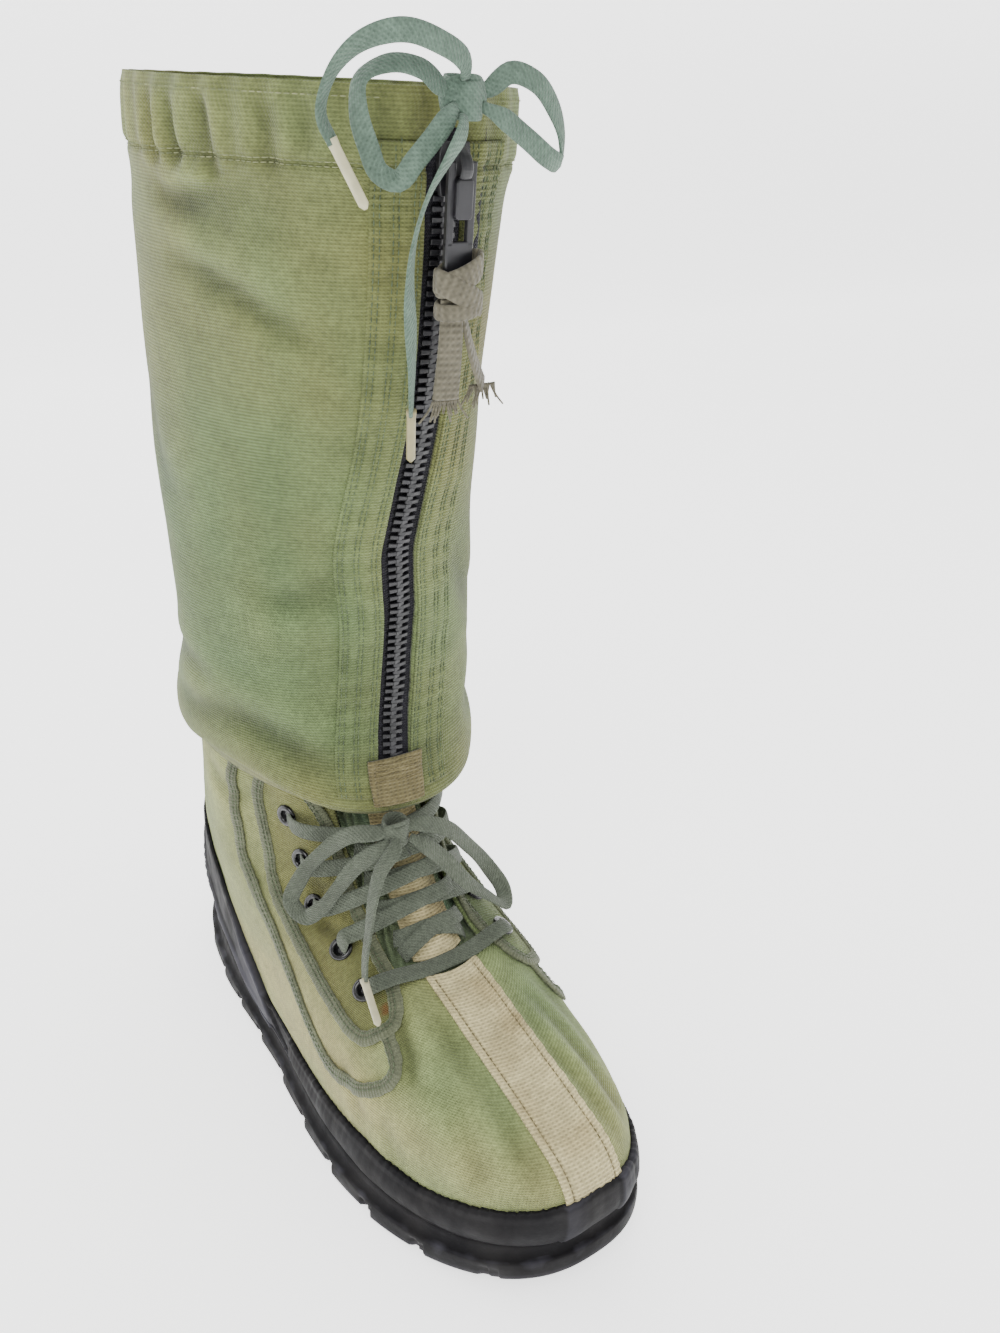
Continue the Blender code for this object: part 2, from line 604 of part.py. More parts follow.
def build_eyestays(foot):
    """Eyelet panel and outer binding on each side of the throat, with the eyelets on the panel."""
    rows = dict(zip(EYESTAY_COLUMNS, np.array(EYESTAY).T))
    path = np.array(BINDING)
    for side, word in ((-1, "lateral"), (1, "medial")):
        near, far = rows["near"][:, None] * MM, rows["far"][:, None] * MM
        arcs = side * (near + (far - near) * np.linspace(0, 1, 5)[None, :])
        top = PANEL_SEAT + PANEL
        sheet("eyestay_" + word, foot, arcs, rows["level"][:, None], PANEL_SEAT, top, "canvas")
        t = np.linspace(0, 1, 27)
        route = smooth(np.linspace(0, 1, len(path)), path * (side * MM, 1), t)
        centre = foot.point(foot.share(route[:, 0], route[:, 1]), route[:, 1])
        normal = unit(foot.offset(foot.share(route[:, 0], route[:, 1]), route[:, 1], 0 * t + 1) - centre)
        across = unit(np.cross(normal, np.gradient(centre, axis=0))) * BINDING_WIDTH / 2
        inner = np.stack([centre - across, centre + across], 1) + normal[:, None] * PANEL_SEAT
        outer = inner + normal[:, None] * PANEL
        shell("binding_" + word, outer.reshape(-1, 3), inner.reshape(-1, 3), grid_cells(len(t), 2), "binding")
        for number, (arc, level, stand) in enumerate(EYELETS, 1):
            u = foot.share(side * arc * MM, level)
            seat = foot.offset(u, level, top + stand * MM)
            build_eyelet(f"eyelet_{word}_{number}", seat, unit(seat - foot.point(u, level)))


def unit(vectors):
    """Vectors at length one."""
    vectors = np.asarray(vectors, float)
    return vectors / np.linalg.norm(vectors, axis=-1, keepdims=True)


def build_eyelet(name, seat, normal):
    """Turned ring with a rolled rim, standing on its seat."""
    outer, bore, thick = EYELET_OUTER / 2, EYELET_BORE / 2, EYELET_THICK
    profile = np.array([(bore, 0), (outer, 0), (outer, 0.45 * thick), ((outer + bore) / 2, thick), (bore, 0.7 * thick)])
    side = unit(np.cross(normal, (0, 0, 1)))
    up = np.cross(side, normal)
    angle = np.linspace(0, 2 * math.pi, 13)[:-1]
    ring = np.cos(angle)[:, None] * side + np.sin(angle)[:, None] * up
    points = seat + ring[:, None] * profile[None, :, :1] + normal * profile[None, :, 1:]
    count = len(profile)
    faces = []
    for i in range(12):
        for k in range(count):
            a, b = i * count, (i + 1) % 12 * count
            faces.append((a + k, b + k, b + (k + 1) % count, a + (k + 1) % count))
    return add_object(name, points.reshape(-1, 3), faces, "eyelet_metal")


def ribbon(name, route, facing, width, thick, colour):
    """A flat strap along a route, its broad side facing along the given directions."""
    along = unit(np.gradient(route, axis=0))
    across = unit(np.cross(facing, along))
    out = unit(np.cross(along, across))
    corners = ((-1, -1), (1, -1), (1, 1), (-1, 1))
    points = np.stack([route + across * (a * width / 2) + out * (b * thick / 2) for a, b in corners], 1)
    count = len(route)
    faces = []
    for i in range(count - 1):
        for k in range(4):
            faces.append((4 * i + k, 4 * i + (k + 1) % 4, 4 * i + 4 + (k + 1) % 4, 4 * i + 4 + k))
    last = 4 * (count - 1)
    faces += [(3, 2, 1, 0), (last, last + 1, last + 2, last + 3)]
    return add_object(name, points.reshape(-1, 3), faces, colour)


def lace(name, foot, row, side=1, extra=0.0, segments=10):
    """A lace ribbon across the throat, lifted over the eyelets, the panel's edge and the tongue."""
    start, start_level, middle_level, end, end_level = row
    arc = np.linspace(-start, end, segments)
    level = smooth((-start, 0, end), (start_level, middle_level, end_level), arc)
    over = PANEL_SEAT + PANEL + SEAT + EYELET_THICK + 2 * CLEARANCE + LACE_THICK / 2
    edge = PANEL_SEAT + PANEL + 3 * CLEARANCE + LACE_THICK / 2
    gap = THROAT[0][1]
    lift = np.interp(arc, (-start, -gap - 8, -gap, 0), (over, over, edge, edge * 0.7)) if start > gap else 0 * arc
    if end > gap:
        lift = np.where(arc > 0, np.interp(-arc, (-end, -gap - 8, -gap, 0), (over, over, edge, edge * 0.7)), lift)
    else:
        lift = np.where(arc > 0, np.interp(arc, (0, end), (edge * 0.7, LACE_THICK)), lift)
    if start <= gap:
        lift = np.where(arc <= 0, np.interp(-arc, (0, start), (edge * 0.7, LACE_THICK)), lift)
    u = foot.share(side * arc * MM, level)
    route = foot.offset(u, level, lift + extra)
    facing = unit(foot.offset(u, level, 0 * u + 1) - foot.point(u, level))
    return ribbon(name, route, facing, LACE_WIDTH, LACE_THICK, "lace")


def build_laces(foot):
    """Bars and joined crossings of the lace, from eyelet to eyelet over the tongue."""
    for name, row in LACE_BARS.items():
        lace(name, foot, row, segments=15)
    for number, row in enumerate(LACE_CROSSES, 1):
        first = lace(f"lace_cross_{number}", foot, row, -1)
        join(first, lace(f"lace_cross_{number}_other", foot, row, 1, LACE_THICK * 0.45), "UNION")


def knot(name, centre, size, colour):
    """A pulled knot: a rounded lump, wider than it is deep."""
    bm = bmesh.new()
    bmesh.ops.create_icosphere(bm, subdivisions=1, radius=0.5)
    points = np.array([v.co for v in bm.verts]) * size * (1.0, 0.8, 0.85) + np.array(centre) * MM
    faces = [tuple(v.index for v in f.verts) for f in bm.faces]
    bm.free()
    return add_object(name, points, faces, colour)


def free_route(points, spacing):
    """An even smooth route through points given in millimetres."""
    points = np.array(points, float) * MM
    chord = np.concatenate([[0], np.cumsum(np.linalg.norm(np.diff(points, axis=0), axis=1))])
    fine = smooth(chord, points, np.linspace(0, chord[-1], 200))
    run = np.concatenate([[0], np.cumsum(np.linalg.norm(np.diff(fine, axis=0), axis=1))])
    at = np.linspace(0, run[-1], max(4, int(round(run[-1] / spacing)) + 1))
    return np.stack([np.interp(at, run, fine[:, k]) for k in range(3)], 1)


def level_facing(route, centre):
    """Directions away from a place, square to nothing in particular, for a ribbon's broad side."""
    return unit(route - np.array(centre) * MM)


def build_free_laces():
    """Bows with their loops and ends: the lace over the foot and the drawstring at the hem."""
    knot("lace_knot", LACE_KNOT_AT, LACE_KNOT, "lace")
    knot("cord_knot", CORD_KNOT_AT, CORD_KNOT, "drawstring")
    for routes, width, thick, colour, inside in (
        (LACE_ROUTES, LACE_WIDTH, LACE_THICK, "lace", (0, 40, 60)),
        (CORD_ROUTES, CORD_WIDTH, CORD_THICK, "drawstring", (2, 60, 410)),
    ):
        for name, points in routes.items():
            route = free_route(points, width * 0.8)
            ribbon(name, route, level_facing(route, inside), width, thick, colour)
    for name, (end, tip) in AGLETS.items():
        routes = {**LACE_ROUTES, **CORD_ROUTES}
        last, before = np.array(routes[end][-1]) * MM, np.array(routes[end][-2]) * MM
        tip = np.array(tip) * MM
        along = unit(tip - last)
        start = last + along * (CLEARANCE + 0.3 * MM)
        route = start + along * AGLET_LENGTH * np.linspace(0, 1, 4)[:, None]
        facing = np.repeat(unit(np.cross(along, (1, 0, 0.2)))[None], 4, 0)
        ribbon(name, route, facing, AGLET_WIDTH, AGLET_WIDTH * 0.8, "aglet")


def build_shaft(shaft):
    """Canvas leg, one wall with a slit for the zip down its front."""
    gap = ZIP_SLIT / 2
    u = np.stack([ring_shares(shaft, v, gap, zip_arc(v)) for v in SHAFT_LEVELS])
    v = np.repeat(np.array(SHAFT_LEVELS)[:, None], u.shape[1], 1)
    rows, cols = u.shape
    outer = shaft.offset(u, v, 0 * u)
    inner = shaft.offset(u, v, 0 * u - CANVAS)
    cells = grid_cells(rows, cols, True, lambda i, j: j in (0, cols - 1) and SLIT_ROWS[0] <= i < SLIT_ROWS[1])
    return shell("shaft", outer.reshape(-1, 3), inner.reshape(-1, 3), cells, "canvas")


def zip_arc(level):
    """Shift of the zip's line from the shaft's centre line, at a level."""
    return table(ZIP_LINE, level) * MM


def build_zip(shaft):
    """Zip in the shaft's slit: tape inside, chain in the slit, slider and hinged pull in front."""
    levels = np.linspace(*ZIP_LEVELS, 16)[:, None]
    middle = zip_arc(levels)
    half = ZIP_SLIT / 2 + ZIP_TAPE_LAP
    out = -CANVAS - SEAT
    tape = middle + half * np.linspace(-1, 1, 5)[None, :]
    sheet("zip_tape", shaft, tape, levels, out - ZIP_TAPE_THICK, out, "zip_tape")
    low = out + CLEARANCE
    levels = np.linspace(ZIP_LEVELS[0] + 0.03, SLIDER_LEVEL, 16)[:, None]
    chain = zip_arc(levels) + CHAIN_WIDTH / 2 * np.linspace(-1, 1, 3)[None, :]
    sheet("zip_chain", shaft, chain, levels, low, low + CHAIN_THICK, "zip_plastic")
    for side, word in ((-1, "lateral"), (1, "medial")):
        levels = np.linspace(*FACING_LEVELS, 15)[:, None]
        edge = ZIP_SLIT / 2 + 1 * MM
        arcs = zip_arc(levels) + side * (edge + FACING_WIDTH * np.linspace(0, 1, 3)[None, :])
        sheet("facing_" + word, shaft, arcs, levels, SEAT, SEAT + FACING_THICK, "canvas")
    levels = np.linspace(*PATCH_LEVELS, 6)[:, None]
    arcs = zip_arc(levels) + PATCH_WIDTH / 2 * np.linspace(-1, 1, 5)[None, :]
    low = SEAT + FACING_THICK + CLEARANCE
    sheet("zip_patch", shaft, arcs, levels, low, low + PATCH_THICK, "webbing")


def crown(shaft):
    """The slider's crown: where the pull turns, with the directions up the zip and out of it."""
    u = shaft.share(zip_arc(SLIDER_LEVEL), SLIDER_LEVEL)
    up = unit((shaft.point(u, SLIDER_LEVEL + 0.02) - shaft.point(u, SLIDER_LEVEL - 0.02)) * (0, 1, 1))
    return shaft.point(u, SLIDER_LEVEL), up, np.cross((1, 0, 0), up)


def block(name, origin, axes, outline, half_width, colour):
    """A body drawn as an outline in the plane of its last two axes and as wide as given."""
    right, up, out = axes
    outline = np.array(outline)
    flat = origin + outline[:, :1] * up + outline[:, 1:] * out
    points = np.concatenate([flat - right * half_width, flat + right * half_width])
    count = len(outline)
    faces = [tuple(range(count)), tuple(range(2 * count - 1, count - 1, -1))]
    faces += [(k, k + count, (k + 1) % count + count, (k + 1) % count) for k in range(count)]
    obj = add_object(name, points, faces, colour)
    bevel = obj.modifiers.new("edges", "BEVEL")
    bevel.width = 0.6 * MM
    bevel.segments = 1
    return obj


def build_pull(shaft):
    """Slider at the head of the chain, its hinged tab and the cotton tape tied below."""
    base, up, out = crown(shaft)
    axes = (np.array((1.0, 0, 0)), up, out)
    seat = CHAIN_THICK - CANVAS + CLEARANCE
    length, thick = SLIDER_LENGTH, SLIDER_THICK
    body = [
        (-length / 2, seat), (length / 2, seat), (length / 2, seat + 0.5 * thick),
        (0.2 * length, seat + thick), (-0.2 * length, seat + thick), (-length / 2, seat + 0.5 * thick),
    ]
    block("zip_slider", base, axes, body, SLIDER_WIDTH / 2, "zip_plastic")
    low = seat + thick + CLEARANCE
    tab = [
        (0.1 * length, low), (0.1 * length, low + TAB_THICK), (0.1 * length - TAB_LENGTH, low + TAB_THICK),
        (0.1 * length - TAB_LENGTH, low),
    ]
    pivot = base + 0.1 * length * up + (low + TAB_THICK / 2) * out
    hang(block("zip_tab", base, axes, tab, TAB_WIDTH / 2, "zip_plastic"), pivot)
    rows = dict(zip(PULL_TAPE_COLUMNS, np.array(PULL_TAPE).T[..., None] * MM))
    top = pivot - up * (TAB_LENGTH + CLEARANCE)
    across = np.array((-1, -0.62, -0.16, 0.16, 0.62, 1))
    round_off = np.array((0.45, 0.9, 1, 1, 0.9, 0.45))
    middle = top - up * rows["down"] + (1.0, 0, 0) * rows["lean"]
    flat = middle[:, None] + np.array((1.0, 0, 0)) * (rows["half"] * across)[..., None]
    half = (rows["thick"] / 2 * round_off)[..., None] * out
    cells = grid_cells(len(rows), 6, False, lambda i, j: j == 2 and i >= TAIL_ROW)
    tape = shell("pull_tape", (flat + half).reshape(-1, 3), (flat - half).reshape(-1, 3), cells, "cotton_tape")
    hang(tape, pivot)


def hang(obj, pivot):
    """Move an object's origin to the axis that it turns on, and leave its shape where it is."""
    obj.data.transform(Matrix.Translation(-Vector(pivot)))
    obj.location = pivot


def build_label(shaft):
    """Small blank tape sewn inside the back of the collar."""
    level = np.linspace(0.945, 0.985, 3)[:, None]
    u = LABEL_PLACE + np.linspace(-1, 1, 4)[None, :] * 0.055
    u, level = np.broadcast_arrays(u, level)
    out = -CANVAS - CLEARANCE
    inner = shaft.offset(u, level, 0 * u + out - LABEL_THICK).reshape(-1, 3)
    outer = shaft.offset(u, level, 0 * u + out).reshape(-1, 3)
    shell("collar_label", outer, inner, grid_cells(3, 4), "cotton_tape")


def main():
    for obj in list(bpy.data.objects):
        bpy.data.objects.remove(obj, do_unlink=True)
    foot = foot_form()
    shaft = shaft_form(foot)
    build_outsole(foot)
    build_rand(foot)
    build_insole(foot)
    build_upper(foot)
    build_tongue(foot)
    build_shaft(shaft)
    build_eyestays(foot)
    build_laces(foot)
    build_free_laces()
    build_zip(shaft)
    build_pull(shaft)
    build_label(shaft)


main()
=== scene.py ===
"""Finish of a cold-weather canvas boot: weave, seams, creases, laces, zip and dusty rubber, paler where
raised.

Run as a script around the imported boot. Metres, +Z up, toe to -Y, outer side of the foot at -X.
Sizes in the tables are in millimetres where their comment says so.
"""

import math

import bpy
import numpy as np
from bpy.props import FloatProperty, FloatVectorProperty, PointerProperty
from mathutils import Matrix


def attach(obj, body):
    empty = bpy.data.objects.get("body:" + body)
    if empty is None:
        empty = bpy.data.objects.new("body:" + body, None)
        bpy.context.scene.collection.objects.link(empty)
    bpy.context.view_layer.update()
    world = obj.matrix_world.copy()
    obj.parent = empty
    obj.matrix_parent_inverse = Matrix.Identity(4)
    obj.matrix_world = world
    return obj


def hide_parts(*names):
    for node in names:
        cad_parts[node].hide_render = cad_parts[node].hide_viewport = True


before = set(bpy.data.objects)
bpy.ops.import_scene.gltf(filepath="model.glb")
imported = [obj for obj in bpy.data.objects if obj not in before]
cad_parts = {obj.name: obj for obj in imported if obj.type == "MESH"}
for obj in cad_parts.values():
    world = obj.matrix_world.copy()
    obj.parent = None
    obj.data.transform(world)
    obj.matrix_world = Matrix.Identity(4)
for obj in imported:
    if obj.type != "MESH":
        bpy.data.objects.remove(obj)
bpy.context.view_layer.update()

bl_info = {
    "name": "Canvas winter boot",
    "version": (1, 0, 0),
    "blender": (4, 5, 0),
    "location": "View3D > Sidebar > Boot",
    "description": "Makes the cloth, rubber, laces and zip of a canvas winter boot",
    "category": "Add Mesh",
}

MM = 0.001
BODY, PULL = "boot", "zip_pull"


def hex_colour(text):
    """Linear colour of an sRGB hex value."""
    parts = [int(text[k : k + 2], 16) / 255 for k in (1, 3, 5)]
    return tuple(c / 12.92 if c <= 0.04045 else ((c + 0.055) / 1.055) ** 2.4 for c in parts)


def length(name, description, millimetres):
    """A length the user can change, given in millimetres."""
    return FloatProperty(
        name=name, description=description, default=millimetres * MM, unit="LENGTH", precision=5
    )


def colour(name, description, text):
    """A colour the user can change, given as an sRGB hex value."""
    return FloatVectorProperty(
        name=name, description=description, default=hex_colour(text), size=3, min=0, max=1, subtype="COLOR"
    )


class BootSizes(bpy.types.PropertyGroup):
    """Real sizes of the finish."""

    wall: length("Canvas wall", "Thickness of the cloth and its lining", 2.0)
    seat: length("Overlay seat", "How far an overlay's underside stands off the cloth", 0.25)
    panel: length("Panel thickness", "Thickness of the eyelet panel", 1.2)
    edge_width: length("Binding width", "Width of the tape bound over the panels' edges", 6.2)
    edge_height: length("Binding height", "How far the bound edge stands up", 2.0)
    webbing_width: length("Webbing width", "Width of the tan webbing on the toe and tongue", 27.0)
    lace_width: length("Lace width", "Width of the flat braided lace", 7.5)
    lace_thick: length("Lace thickness", "Thickness of the flat braided lace", 1.3)
    cord_width: length("Drawstring width", "Width of the flat braided drawstring", 6.6)
    cord_thick: length("Drawstring thickness", "Thickness of the flat braided drawstring", 1.3)
    stitch_pitch: length("Stitch pitch", "Distance from one stitch to the next", 2.6)
    stitch_width: length("Thread width", "Width of the sewing thread", 0.45)
    tooth_pitch: length("Zip tooth pitch", "Distance from tooth to tooth on one side of the zip", 3.4)
    groove_pitch: length("Lug pitch", "Distance from groove to groove of the tread", 29.0)
    groove_width: length("Groove width", "Width of a groove of the tread", 7.0)
    groove_depth: length("Groove depth", "Depth of a groove of the tread", 6.0)


class BootColours(bpy.types.PropertyGroup):
    """Colours of the finish, read from the boot in even light."""

    canvas: colour("Canvas", "Washed sage cloth", "#5f683f")
    canvas_faded: colour("Faded canvas", "Where the dye has gone yellow", "#6f6c3c")
    canvas_cool: colour("Cool canvas", "Where the dye has kept its blue", "#536b45")
    webbing: colour("Webbing", "Tan cotton webbing", "#c1b588")
    binding: colour("Binding", "Grey-green edge tape", "#585c48")
    lace: colour("Lace", "Grey-green braid of the lace", "#50564a")
    drawstring: colour("Drawstring", "Pale green braid of the hem's drawstring", "#54675a")
    tape: colour("Cotton tape", "Grey cotton tape of the pull and label", "#605c4e")
    aglet: colour("Aglet", "Cream tip of a cord", "#b5b08f")
    thread: colour("Thread", "Dark green sewing thread", "#46513a")
    rubber: colour("Rubber", "Black moulded rubber", "#0b0a0d")
    plastic: colour("Zip plastic", "Black moulded zip parts", "#111114")


def sizes():
    """The size properties."""
    return bpy.context.scene.boot_sizes


def tint(name):
    """A colour property with full alpha."""
    return (*getattr(bpy.context.scene.boot_colours, name), 1.0)


def paint(text):
    """An sRGB hex value as a linear colour with full alpha."""
    return (*hex_colour(text), 1.0)


# The form of the boot. Lengths are shares of these sizes, as in the solids.
FOOT_LENGTH, BALL_WIDTH, ANKLE_HEIGHT = 314 * MM, 117 * MM, 176 * MM
BOOT_HEIGHT, SHAFT_WIDTH, SOLE_THICK = 430 * MM, 124 * MM, 18 * MM
ARCH_RISE, TOE_SPRING, SPRING_RUN, SHAFT_TURN = 4 * MM, 10 * MM, 75 * MM, 5 * MM
RAND_FOOT_THICK, RAND_TOP_THICK, SOLE_EDGE = 5 * MM, 2 * MM, 7.5 * MM
TREAD_START, TONGUE_LAP, TONGUE_CROWN = -142 * MM, 14 * MM, 3.8 * MM

# front, back: reach of a ring. front_z, back_z: its height there. ball, waist, heel: half widths.
# blunt: exponent of its ends, 2 for an ellipse and more for a blunter toe.
FORM_COLUMNS = ("front", "back", "front_z", "back_z", "ball", "waist", "heel", "blunt")
FOOT_RINGS = [
    (-0.965, 0.975, SOLE_THICK / ANKLE_HEIGHT, SOLE_THICK / ANKLE_HEIGHT, 0.950, 0.79, 0.76, 2.55),
    (-0.995, 1.000, 0.155, 0.193, 0.990, 0.86, 0.82, 2.55),
    (-1.000, 1.000, 0.215, 0.295, 0.990, 0.88, 0.86, 2.50),
    (-0.950, 0.995, 0.285, 0.398, 0.950, 0.88, 0.88, 2.45),
    (-0.830, 0.980, 0.355, 0.489, 0.890, 0.90, 0.89, 2.40),
    (-0.668, 0.955, 0.418, 0.580, 0.820, 0.91, 0.90, 2.35),
    (-0.497, 0.930, 0.470, 0.660, 0.750, 0.92, 0.90, 2.30),
    (-0.331, 0.898, 0.523, 0.727, 0.700, 0.92, 0.90, 2.20),
    (-0.236, 0.866, 0.614, 0.795, 0.690, 0.92, 0.90, 2.15),
    (-0.159, 0.834, 0.739, 0.864, 0.710, 0.91, 0.90, 2.10),
    (-0.108, 0.803, 0.852, 0.926, 0.740, 0.90, 0.89, 2.10),
    (-0.076, 0.764, 1.000, 1.000, 0.750, 0.88, 0.88, 2.10),
]
SHAFT_RINGS = [
    (-0.155, 0.840, 0.352, 0.395, 0.93, 0.95, 0.94, 2.2),
    (-0.170, 0.850, 0.363, 0.403, 0.97, 1.00, 0.98, 2.2),
    (-0.145, 0.815, 0.400, 0.425, 0.98, 1.02, 1.00, 2.2),
    (-0.105, 0.715, 0.465, 0.468, 0.98, 1.02, 1.00, 2.2),
    (-0.115, 0.655, 0.550, 0.550, 1.00, 1.04, 1.02, 2.1),
    (-0.160, 0.740, 0.650, 0.650, 0.99, 1.03, 1.02, 2.1),
    (-0.240, 0.830, 0.770, 0.770, 0.95, 0.99, 0.98, 2.1),
    (-0.310, 0.825, 0.885, 0.890, 0.93, 0.97, 0.96, 2.1),
    (-0.325, 0.790, 0.920, 0.930, 0.93, 0.97, 0.96, 2.1),
    (-0.340, 0.770, 0.947, 0.960, 0.96, 1.00, 0.98, 2.1),
    (-0.345, 0.740, 1.000, 1.015, 0.97, 1.00, 0.98, 2.1),
]
LIP_LEVEL = 0.97
HEEL_STOP, WAIST_STOP, BALL_STOP = 0.2, 0.47, 0.74

# Level on the foot, half gap of the throat in millimetres.
THROAT = [(0.60, 26), (0.75, 28), (1.00, 29)]
# Share of the half ring from toe to heel, level of the rubber's top edge.
RAND_TOP = [
    (0.00, 0.175), (0.08, 0.160), (0.20, 0.130), (0.30, 0.135), (0.42, 0.105), (0.52, 0.085),
    (0.575, 0.085), (0.605, 0.150), (0.65, 0.210), (0.71, 0.310), (0.80, 0.375), (0.90, 0.400),
    (1.00, 0.400),
]
# Level on the foot, near and far edge of the eyelet panel in millimetres from the centre line.
EYESTAY = [
    (0.40, 82, 92), (0.43, 68, 99), (0.47, 52, 102), (0.52, 40, 102), (0.58, 33, 98),
    (0.61, 32, 94), (0.64, 31, 90), (0.68, 31, 86), (0.72, 31.5, 82), (0.80, 32, 76),
    (0.87, 33, 72), (0.92, 39, 66), (0.945, 47, 59),
]
# The quarter's bound edge: millimetres from the centre line, level on the foot.
QUARTER_EDGE = [
    (68, 0.955), (80, 0.935), (89, 0.86), (97, 0.76), (110, 0.64), (125, 0.53), (137, 0.43),
    (144, 0.34), (142, 0.265), (130, 0.24), (110, 0.265), (90, 0.31), (74, 0.355), (63, 0.40),
    (58, 0.45),
]
# Eyelets from the lowest up: millimetres from the centre line, level.
EYELETS = [(58, 0.515), (60, 0.575), (62, 0.65), (57, 0.755), (56, 0.845)]
# Laces: start, its level, level over the tongue's middle, end, its level. Millimetres.
LACE_BARS = {"lace_bar_low": (57, 0.516, 0.618, 57, 0.516), "lace_bar_top": (56, 0.84, 0.868, 56, 0.84)}
LACE_CROSSES = [
    (18, 0.635, 0.685, 18, 0.668), (59, 0.577, 0.740, 22, 0.725), (61, 0.652, 0.785, 22, 0.775),
    (56, 0.755, 0.825, 23, 0.825),
]
# The zip's line: level on the shaft, its shift from the centre line in millimetres.
ZIP_LINE = [(0.18, -7), (0.26, -6), (0.36, -1), (0.45, 0), (0.51, -3), (0.60, 2), (0.75, 1), (1.0, 0)]
ZIP_LEVELS, PATCH_LEVELS, FACING_LEVELS, SLIDER_LEVEL = (0.25, 0.955), (0.165, 0.27), (0.19, 0.94), 0.905
ZIP_SLIT, ZIP_TAPE_LAP, FACING_WIDTH, PATCH_WIDTH = 15 * MM, 8 * MM, 18 * MM, 23 * MM
SLIDER_SEAT, SLIDER_THICK = 1.1 * MM, 4.5 * MM
HEM_LEVEL, HEM_LIP_LEVEL, LABEL_PLACE = 0.905, 0.985, -0.86
# The slump hangs less low on the outer side.
DROOP_RISE = 12 * MM

# Routes of the free laces and drawstring in millimetres, from the knot outwards.
LACE_KNOT_AT, CORD_KNOT_AT = (-9, -31.5, 148), (2, -65, 427)
LACE_ROUTES = {
    "lace_loop_lateral": [
        (-16.2, -33, 150), (-27, -26, 149), (-37, -18, 139), (-45, -10, 123), (-49, -9, 112),
        (-46, -15, 107), (-41, -21, 113), (-35, -26, 124), (-27, -31, 137), (-17.2, -35, 145),
    ],
    "lace_loop_medial": [
        (-2.2, -35, 150), (10, -37, 146), (25, -36, 130), (36, -37, 114), (40, -43, 104),
        (36, -50, 102), (28, -49, 109), (18, -46, 119), (8, -42, 133), (-2.2, -39, 144),
    ],
    "lace_end_lateral": [
        (-13, -38.8, 146), (-22, -41, 137), (-27, -43, 126), (-31, -46, 114), (-36, -51, 103), (-39, -56, 97),
    ],
}
CORD_ROUTES = {
    "cord_loop_lateral": [
        (-5.5, -66.5, 429), (-15, -69, 434), (-25, -68, 435), (-32, -64, 431), (-32, -62, 423),
        (-29, -62, 413), (-26, -63, 406), (-22, -66, 404), (-17, -69, 410), (-12, -71, 416),
        (-5, -70, 423),
    ],
    "cord_loop_medial": [
        (9.6, -66.3, 429), (17, -69, 434), (25, -70, 432), (34, -68, 425), (41, -64, 416),
        (40, -65, 409), (33, -69, 410), (22, -71, 416), (9.5, -71, 423),
    ],
    "cord_end_lateral": [
        (-1, -71.5, 434.5), (-14, -76, 441), (-25, -76, 443), (-37, -71, 439), (-43, -65, 430),
        (-44, -62, 421), (-41, -63, 414),
    ],
    "cord_end_medial": [
        (-2.5, -72.5, 419), (-9, -75, 411), (-14, -71, 400), (-17, -67, 386), (-17, -64, 372),
        (-15, -61, 359), (-13, -58, 346), (-11, -54, 336), (-10, -52, 330),
    ],
}
AGLETS = {
    "lace_end_lateral": ("lace_aglet_lateral", (-42, -71, 90)),
    "cord_end_lateral": ("cord_aglet_lateral", (-34, -67, 398)),
    "cord_end_medial": ("cord_aglet_medial", (-7, -46, 311)),
}
AGLET_LENGTH, AGLET_WIDTH = 19 * MM, 3.2 * MM
KNOT_REACH, BOW_STEP = 4 * MM, 1.6 * MM
# The rust spot: millimetres from the centre line, level.
RUST_AT = (-49, 0.501)
# The two stitch rows of a binding, as shares of its width from its middle towards its inner edge.
BINDING_ROWS = (0.04, 0.33)

# Turn of each braid about its own line, in degrees, from the knot outwards.
TWISTS = {
    "lace_loop_lateral": (0, -20, -55, -30, 10, 45, 20, 0),
    "lace_loop_medial": (0, 15, 10, 45, 30, -25, 0),
    "lace_end_lateral": (15, 50, 72, 78),
    "cord_loop_lateral": (0, 10, 30, 60, 30, 0, -20, -10, 0),
    "cord_loop_medial": (0, 10, 0, -35, -10, 0),
    "cord_end_lateral": (0, -10, -25, -50, -62, -45),
    "cord_end_medial": (-10, -45, -62, -50, -35, -50, -62),
}

# Creases, listed one by one: depth and half width in millimetres, then points of millimetres from the
# centre line (outer side negative) and level.
FOOT_CREASES = [
    (1.5, 3.5, [(16, 0.56), (18, 0.48), (19, 0.40), (20, 0.335), (20, 0.22)]),
    (2.0, 4.5, [(22, 0.55), (31, 0.46), (36, 0.37), (36, 0.29), (31, 0.22)]),
    (1.3, 4.0, [(40, 0.50), (50, 0.42), (54, 0.34), (50, 0.25)]),
    (2.0, 3.5, [(-42, 0.515), (-48, 0.46), (-53, 0.415), (-61, 0.365)]),
    (1.2, 4.0, [(-18, 0.56), (-21, 0.49), (-20, 0.43), (-21, 0.32), (-22, 0.21)]),
    (0.9, 5.0, [(-34, 0.45), (-38, 0.36), (-44, 0.27), (-47, 0.19)]),
    (1.0, 3.5, [(-121, 0.28), (-114, 0.24), (-110, 0.18)]),
    (0.8, 4.0, [(-96, 0.25), (-92, 0.19), (-86, 0.15)]),
    (1.3, 5.0, [(-112, 0.86), (-96, 0.82), (-76, 0.85)]),
    (1.1, 4.0, [(-70, 0.69), (-56, 0.71), (-44, 0.695)]),
    (0.8, 3.0, [(-69, 0.60), (-58, 0.61), (-46, 0.60)]),
    (1.6, 5.0, [(90, 0.88), (112, 0.80), (138, 0.79)]),
    (1.2, 5.0, [(-170, 0.86), (-190, 0.76), (-214, 0.72)]),
    (1.2, 5.0, [(168, 0.88), (190, 0.77), (212, 0.70)]),
    (1.0, 4.0, [(104, 0.30), (112, 0.24), (122, 0.17)]),
]
